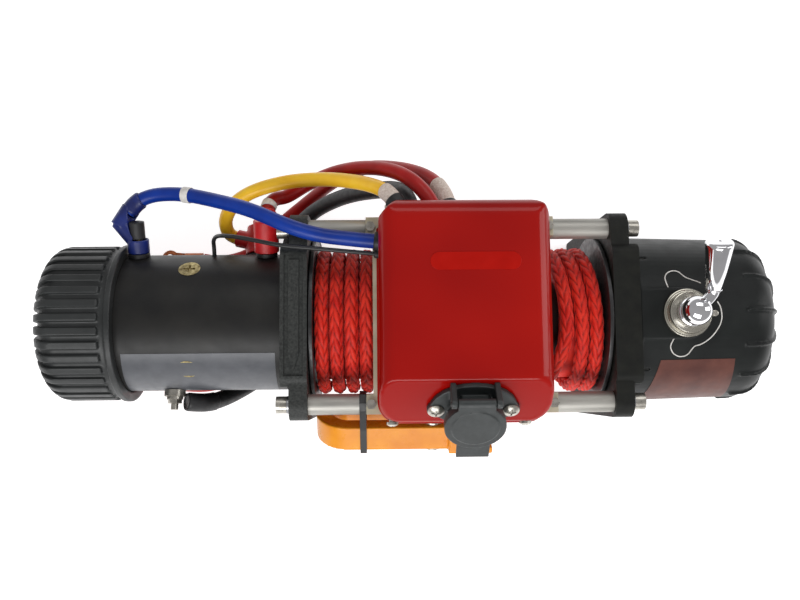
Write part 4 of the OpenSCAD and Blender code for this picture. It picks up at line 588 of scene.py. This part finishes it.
def run_out(q, way, radius):
    """How far each point goes along the way to reach a cylinder round the drum."""
    y, z = q[..., 1], q[..., 2] - AXIS_Z
    b = y * way[1] + z * way[2]
    a = way[1] ** 2 + way[2] ** 2
    return (np.sqrt(np.maximum(0, b * b - a * (y * y + z * z - radius * radius))) - b) / a


def braid(name, line, material, body, replaced, cut=None, first=(1, 0, 0), sides=48, spacing=1.3):
    """A braided rope as one skin: its strands slant towards each other in pairs, like an ear of wheat.

    cut is a way, a cylinder's radius round the drum, and whether the rope stays inside it: what would
    pass that cylinder slides along the way onto it.
    """
    line = np.asarray(line, float)
    total = run_lengths(line)[-1]
    count = int(total / spacing) + 1
    even = np.linspace(0, total, count)
    line = at_lengths(line, even)
    place = WALES * np.arange(sides) / sides
    wale = np.floor(place)
    across = place - wale
    even_wale = np.mod(wale, 2) < 1
    slant = np.where(even_wale, across, 1 - across) * PLAIT_SLANT
    phase = even[:, None] / PLAIT_LEN + slant[None, :] + np.where(even_wale, 0.0, 0.5)[None, :]
    # each strand is crowned along its length and, a little less, across its width
    swell = np.sqrt(np.abs(np.sin(np.pi * (phase - np.floor(phase)))))
    height = swell * (0.45 + 0.55 * np.sqrt(np.sin(np.pi * np.clip(across, 0.02, 0.98))))[None, :]
    rings = ring_points(line, ROPE_D / 2 * (1 - STRAND_RISE * (1 - height)), first, sides)
    if cut:
        way, limit, inside = cut
        far = run_out(rings, way, limit)
        slid = rings + far[..., None] * way
        beyond = far < 0 if inside else far > 0
        reach = np.arange(count)[:, None] * spacing
        window = (reach > total - CUT_REACH) if inside else (reach < CUT_REACH)
        rings = np.where((beyond & window)[..., None], slid, rings)
    piece = link_mesh(name, rings.reshape(-1, 3), grid_faces(count, sides))
    # painted shade: the colour is darkest where a strand lies lowest, between the strands
    groove_shade = piece.data.attributes.new("groove_shade", "FLOAT", "POINT")
    groove_shade.data.foreach_set("value", np.clip(1.1 - 1.7 * height, 0, 1).astype(np.float32).ravel())
    return dress(piece, material, body, replaced)


def make_rope(materials):
    """The outer layer on the drum and the length that leads to the hook."""
    wound = [turn_point(i / TURN_STEPS)
             for i in range(int(TURN_STEPS * STEP_SHARE), TURNS * TURN_STEPS + 1)]
    way = np.array([OFF_LEAN, math.sin(TURN_END_ANGLE), -math.cos(TURN_END_ANGLE)])
    way /= np.linalg.norm(way)
    end = np.array(wound[-1])
    wound.append(list(end + way * OFF_LEN))
    braid("rope_wound", wound, materials["rope_fibre"], "drum_assembly", ("rope_winding",),
          cut=(way, WOUND_R + CUT_GAP, True))
    free = [list(end + way * OFF_LEN), list(end + way * (OFF_LEN + ROPE_D / 2))] + TAIL_ROUTE
    tail = np.vstack([[end], [end + way * OFF_LEN / 2], smooth_line(free, 10)])
    braid("rope_to_hook", tail, materials["rope_fibre"], "frame", ("rope_tail",),
          cut=(way, WOUND_R + 2 * CUT_GAP, False),
          first=(0, math.cos(TURN_END_ANGLE), math.sin(TURN_END_ANGLE)))


# forms that are cast, moulded or forged, softened from their solids

# of the lead boots, those past here are blue
BLUE_BOOT_X = -230
# a round of smoothing draws the skin in by the first share, and the next lets it out by the second
DRAW_IN, LET_OUT = 0.5, -0.47


def softened(name, node, voxel, rounds, body, material, keep=None):
    """A skin over a CAD solid with its edges rounded off, as moulding and forging leave them."""
    source = nodes[node]
    copy = bpy.data.objects.new(name + "_form", source.data.copy())
    bpy.context.scene.collection.objects.link(copy)
    remesh = copy.modifiers.new("skin", "REMESH")
    remesh.mode = "VOXEL"
    remesh.voxel_size = voxel * MM
    remesh.adaptivity = 0.0
    skin = bpy.data.meshes.new_from_object(copy.evaluated_get(bpy.context.evaluated_depsgraph_get()))
    bpy.data.objects.remove(copy)
    count = len(skin.vertices)
    place = np.empty(count * 3)
    skin.vertices.foreach_get("co", place)
    place = place.reshape(-1, 3)
    ends = np.empty(len(skin.edges) * 2, int)
    skin.edges.foreach_get("vertices", ends)
    ends = ends.reshape(-1, 2)
    valence = np.bincount(ends.ravel(), minlength=count).astype(float)[:, None]
    share = np.ones((count, 1)) if keep is None else keep(place / MM)[:, None]
    for i in range(rounds):
        total = np.zeros_like(place)
        for k in range(3):
            total[:, k] = (np.bincount(ends[:, 0], place[ends[:, 1], k], count)
                           + np.bincount(ends[:, 1], place[ends[:, 0], k], count))
        pull = DRAW_IN if i % 2 == 0 else LET_OUT
        place = place + pull * share * (total / np.maximum(valence, 1) - place)
    skin.vertices.foreach_set("co", place.ravel())
    skin.update()
    skin.shade_smooth()
    skin.name = name
    piece = bpy.data.objects.new(name, skin)
    bpy.context.scene.collection.objects.link(piece)
    return dress(piece, material, body, (node,))


def split_finish(piece, material, inside):
    """A second finish on the faces whose middles, in millimetres, are inside."""
    piece.data.materials.append(material)
    index = [1 if inside(polygon.center / MM) else 0 for polygon in piece.data.polygons]
    piece.data.polygons.foreach_set("material_index", index)


def make_softened(materials):
    """Cover, hook, caps, boots and housings, which have no sharp edges on the real thing."""
    # the cover's lower rim keeps its shape, where it rests on the base
    softened("cover_shell", "control_box_cover", 1.0, 90, "frame", materials["cover_paint"],
             keep=lambda q: np.clip((q[:, 2] - BOX_Z - 3.5) / 4, 0.05, 1))
    softened("hook_forging", "clevis_hook", 0.8, 60, "frame", materials["hook_paint"])
    softened("stud_insulators", "terminal_insulators", 0.5, 50, "frame", materials["rubber_black"])
    softened("socket_lid", "socket_cap", 0.5, 24, "cap", materials["socket_black"])
    softened("socket_housing", "socket_body", 0.6, 20, "frame", materials["socket_black"])
    softened("motor_cap", "motor_end_cap", 0.8, 16, "frame", materials["cap_black"])
    softened("gear_case", "gear_housing", 0.9, 30, "frame", materials["gear_black"])
    boots = softened("rubber_boots", "lead_boots", 0.6, 40, "frame", materials["boot_red"])
    split_finish(boots, materials["boot_blue"], lambda q: q.x < BLUE_BOOT_X)


def make_lever(materials):
    """The clutch lever: a turned hub, a bent arm and a tapered grip with a crowned end, all chromed."""
    hub = rounded_profile([(4.4, 6), (4.4, 0), (HUB_R, 0), (HUB_R, 4), (9.6, 4.6), (9.6, 5.6)], 0.8)
    hub += [(HUB_R * math.cos(a), HUB_R + HUB_R * math.sin(a))
            for a in np.linspace(-0.5, math.pi / 2 - 0.02, 28)]
    dress(lathe("lever_hub", hub, (CLUTCH_X, CLUTCH_Y, HUB_Z)), materials["chrome"], "lever",
          ("clutch_lever",))
    start, bend, end = (np.array(q, float) for q in (ARM_FROM, ARM_TO, GRIP_TO))
    way = (end - bend) / np.linalg.norm(end - bend)
    before, after = bend + (start - bend) * 0.45, bend + way * 3
    knee = [(1 - t) ** 2 * before + 2 * t * (1 - t) * bend + t * t * after for t in np.linspace(0, 1, 14)]
    line = [start] + knee
    radii = [ARM_R] * len(line)
    for reach, radius in GRIP_OUTLINE:
        line.append(bend + way * (GRIP_START + reach))
        radii.append(radius)
    dress(sweep("lever_arm", line, radii, 48, (1, 0, 0)), materials["chrome"], "lever",
          ("clutch_lever",))


# thin pieces on the surfaces

# how far a plate on a surface reaches into it
PLATE_SINK = 0.3


def skin_patch(name, outline, surface, thick, material, steps=24):
    """A thin plate between an outline's two long edges, on a surface that a function gives."""
    low, high = np.asarray(outline[0], float), np.asarray(outline[1], float)
    shares = np.linspace(0, 1, steps)
    grid = []
    for t in shares:
        a = low[0] + (low[1] - low[0]) * t
        b = high[0] + (high[1] - high[0]) * t
        grid += [a + (b - a) * w for w in shares]
    top = [surface(q, thick) for q in grid]
    under = [surface(q, -PLATE_SINK) for q in grid]
    count = len(grid)
    faces = []
    for i in range(steps - 1):
        for k in range(steps - 1):
            q = (i * steps + k, i * steps + k + 1, (i + 1) * steps + k + 1, (i + 1) * steps + k)
            faces.append(q)
            faces.append(tuple(count + v for v in q[::-1]))
    last = steps - 1
    rim = (list(range(steps)) + [i * steps + last for i in range(1, steps)]
           + [last * steps + k for k in range(last - 1, -1, -1)]
           + [i * steps for i in range(last - 1, 0, -1)])
    for a, b in zip(rim, rim[1:] + rim[:1]):
        faces.append((b, a, count + a, count + b))
    piece = link_mesh(name, top + under, faces)
    sharpen(piece, 50)
    return dress(piece, material)


def round_motor(q, rise):
    """The motor's surface at a place along it and an angle round it."""
    x, a = q[0], math.radians(q[1])
    return (x, (MOTOR_R + rise) * math.cos(a), AXIS_Z + (MOTOR_R + rise) * math.sin(a))


def gear_radius(x):
    """Radius of the tapered gear housing."""
    return GEAR_R - GEAR_TAPER * (x - OUTER_X) / GEAR_LEN


def round_gear(q, rise):
    """The gear housing's surface at a place along it and an angle round it."""
    x, a = q[0], math.radians(q[1])
    r = gear_radius(x) + rise
    return (x, r * math.cos(a), AXIS_Z + r * math.sin(a))


def line_on(name, points, surface, radius, material):
    """A fine raised line on a surface."""
    path = smooth_line([surface(q, 0.0) for q in points], LINE_STEPS)
    return dress(sweep(name, path, radius, 10), material)


def tube_between(name, line, a, b, radius, material, rounded=1.0, sides=32):
    """A sleeve on part of a line, from a to b millimetres along it, with rolled ends."""
    marks = np.concatenate([[a, a + 0.3 * rounded], np.linspace(a + rounded, b - rounded, 14),
                            [b - 0.3 * rounded, b]])
    radii = np.full(len(marks), radius)
    radii[[0, -1]] -= rounded
    radii[[1, -2]] -= 0.3 * rounded
    return dress(sweep(name, at_lengths(line, marks), radii, sides), material)


def slab_block(name, outline, low, high, edge, material):
    """A plate of constant outline, rounded at its upper edge."""
    points = np.asarray(outline, float)
    middle = points.mean(axis=0)
    levels = [(low, 0.0), (high - edge, 0.0), (high - 0.3 * edge, 0.3 * edge), (high, edge)]
    rings = []
    for z, inset in levels:
        away = points - middle
        length = np.linalg.norm(away, axis=1)[:, None]
        ring = middle + away * (1 - inset / length)
        rings.append(np.column_stack([ring, np.full(len(ring), z)]))
    piece = link_mesh(name, np.vstack(rings), grid_faces(len(levels), len(points)))
    sharpen(piece, 40)
    return dress(piece, material)


def stadium(x0, x1, y, w, count=16):
    """Outline of a bar with round ends, w wide about y."""
    r = w / 2
    right = [(x1 - r + r * math.sin(math.pi * k / count), y - r * math.cos(math.pi * k / count))
             for k in range(count + 1)]
    left = [(x0 + r - r * math.sin(math.pi * k / count), y + r * math.cos(math.pi * k / count))
            for k in range(count + 1)]
    return right + left


def make_labels(materials):
    """Bare plates and a plain outline where the real one carries words, finished as carefully."""
    skin_patch("motor_plate", [[(-261, 119.5), (-142.8, 119.5)], [(-264, 172), (-144.5, 172)]],
               round_motor, 0.25, materials["label_grey"])
    skin_patch("gear_plate", [[(153.5, 122.6), (211.5, 122.6)], [(146.5, 172), (217.5, 172)]],
               round_gear, 0.25, materials["label_red"])
    outline = [[(158.7, 73.7), (157.7, 69.5), (157.6, 66.4), (159.9, 63.1), (164.4, 61.2),
                (168.6, 61.7), (171.5, 64.3), (173.9, 66.3), (177.8, 67.9), (181.7, 69.3),
                (184.7, 70.5)],
               [(195.6, 83.4), (197.4, 86.4), (198.3, 90.5), (198.3, 94.7), (196.9, 98.8),
                (194.2, 102.9), (191.0, 106.5), (187.0, 109.6), (182.4, 111.9), (178.5, 112.9),
                (175.9, 115.7), (174.1, 118.3), (170.9, 120.0), (166.7, 120.0), (162.4, 117.8),
                (160.0, 114.4), (159.7, 111.8), (160.8, 109.3), (162.1, 107.5), (167.9, 107.0),
                (173.5, 106.8), (176.3, 106.4)]]
    for k, points in enumerate(outline):
        line_on("gear_outline_%d" % (k + 1), points, round_gear, 0.45, materials["marking_white"])
    box_top = BOX_Z + BOX_H
    slab_block("cover_plate", stadium(-25.7, 39.6, 34, 13), box_top - PLATE_SINK, box_top + 0.35, 0.5,
               materials["label_cover"])
    slab_block("clutch_stop", stadium(189.5, 195.0, -1.5, 5.0, 6), AXIS_Z + 63.0, AXIS_Z + 69.5, 0.8,
               materials["screw_metal"])


def make_fittings(materials):
    """Sleeves, rings and glands on the leads."""
    blue, yellow, red, battery, earth, wire = (smooth_line(route, LINE_STEPS) for route in (
        BLUE_ROUTE, YELLOW_ROUTE, RED_ROUTE, BATTERY_ROUTE, EARTH_ROUTE, WIRE_ROUTE))
    radius = LEAD_D / 2
    blue_end, red_end, earth_end = line_length(blue), line_length(red), line_length(earth)
    for name, line, a, b, size, finish, slot, rounded in (
            ("yellow_lead_sleeve", yellow, 9, 30, radius + 0.7, "braid_sleeve", "yellow_cable", 0.6),
            ("battery_lead_sleeve", battery, 18, 40, radius + 0.7, "braid_sleeve", "red_cable", 0.6),
            ("blue_lead_ring", blue, blue_end - 60, blue_end - 53, radius + 0.7, "marking_white",
             "blue_cable", 0.5),
            ("blue_lead_cuff", blue, blue_end - 16, blue_end - 1.5, radius + 1.3, "boot_blue",
             "blue_cable", 1.0),
            ("red_lead_ring", red, red_end - 15, red_end - 9.5, radius + 0.7, "marking_white",
             "red_cable", 0.5),
            ("earth_lead_boot", earth, earth_end - 27, earth_end - 0.3, EARTH_D / 2 + 0.6, "rubber_black",
             "black_rubber", 1.4)):
        tube_between(name, line, a, b, size, materials[finish], rounded)
    for name, line, size in (("blue", blue, LEAD_D), ("yellow", yellow, LEAD_D), ("red", red, LEAD_D),
                             ("battery", battery, LEAD_D), ("earth", earth, EARTH_D),
                             ("sensor", wire, WIRE_D)):
        # how far along it the lead passes the cover's wall
        wall = {"blue": 10.5, "sensor": 8.6}.get(name, 15.5)
        tube_between(name + "_lead_gland", line, wall - 3.2, wall + 3.2, size / 2 + 1.6,
                     materials["rubber_black"], 1.0)


# the stage; places and sizes in metres, and lamps in watts

FLOOR_SIZE = 6.0
FLOOR_GLOW = 0.62


def make_stage():
    """A plain pale floor that keeps the winch's shadow and looks white to the camera and to gloss."""
    bpy.ops.mesh.primitive_plane_add(size=FLOOR_SIZE, location=(0, 0, 0))
    floor = bpy.context.object
    floor.name = "floor"
    recipe = Recipe("floor_white")
    recipe.set(Base_Color=(0.92, 0.92, 0.92, 1), Roughness=0.9)
    tree = recipe.tree
    glow = tree.nodes.new("ShaderNodeEmission")
    glow.inputs["Strength"].default_value = FLOOR_GLOW
    total = tree.nodes.new("ShaderNodeAddShader")
    choice = tree.nodes.new("ShaderNodeMixShader")
    seen = tree.nodes.new("ShaderNodeLightPath")
    both = tree.nodes.new("ShaderNodeMath")
    both.operation = "MAXIMUM"
    output = tree.nodes["Material Output"]
    recipe.link(recipe.shader.outputs["BSDF"], total.inputs[0])
    recipe.link(glow.outputs["Emission"], total.inputs[1])
    recipe.link(seen.outputs["Is Camera Ray"], both.inputs[0])
    recipe.link(seen.outputs["Is Glossy Ray"], both.inputs[1])
    recipe.link(both.outputs["Value"], choice.inputs["Fac"])
    recipe.link(recipe.shader.outputs["BSDF"], choice.inputs[1])
    recipe.link(total.outputs["Shader"], choice.inputs[2])
    recipe.link(choice.outputs["Shader"], output.inputs["Surface"])
    floor.data.materials.append(recipe.material)


def area_light(name, place, target, size, power):
    """A rectangular lamp that faces its target."""
    data = bpy.data.lights.new(name, "AREA")
    data.shape = "RECTANGLE"
    data.size, data.size_y = size
    data.energy = power
    lamp = bpy.data.objects.new(name, data)
    lamp.location = place
    lamp.rotation_euler = (Vector(target) - Vector(place)).to_track_quat("-Z", "Y").to_euler()
    bpy.context.scene.collection.objects.link(lamp)


def make_light():
    """Soft daylight from above and the front, and a pale surround."""
    world = bpy.data.worlds.new("studio")
    bpy.context.scene.world = world
    world.use_nodes = True
    back = world.node_tree.nodes["Background"]
    back.inputs["Color"].default_value = (0.93, 0.92, 0.93, 1)
    back.inputs["Strength"].default_value = 0.42
    area_light("sky", (0.25, 1.15, 1.35), (0, 0, 0.1), (1.3, 0.7), 6)
    area_light("front", (-0.3, -1.3, 1.2), (-0.05, 0, 0.1), (1.5, 0.8), 22)
    area_light("side", (1.5, 0.2, 0.9), (0.1, 0, 0.1), (0.5, 1.2), 7)
    bpy.context.scene.view_settings.view_transform = "Standard"


make_camera()
materials = make_materials()
make_battery_lead(materials)
make_held_leads(materials)
wear_materials(materials)
make_rope(materials)
make_softened(materials)
make_lever(materials)
make_labels(materials)
make_fittings(materials)
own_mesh(nodes["clutch_spring"])
make_stage()
make_light()
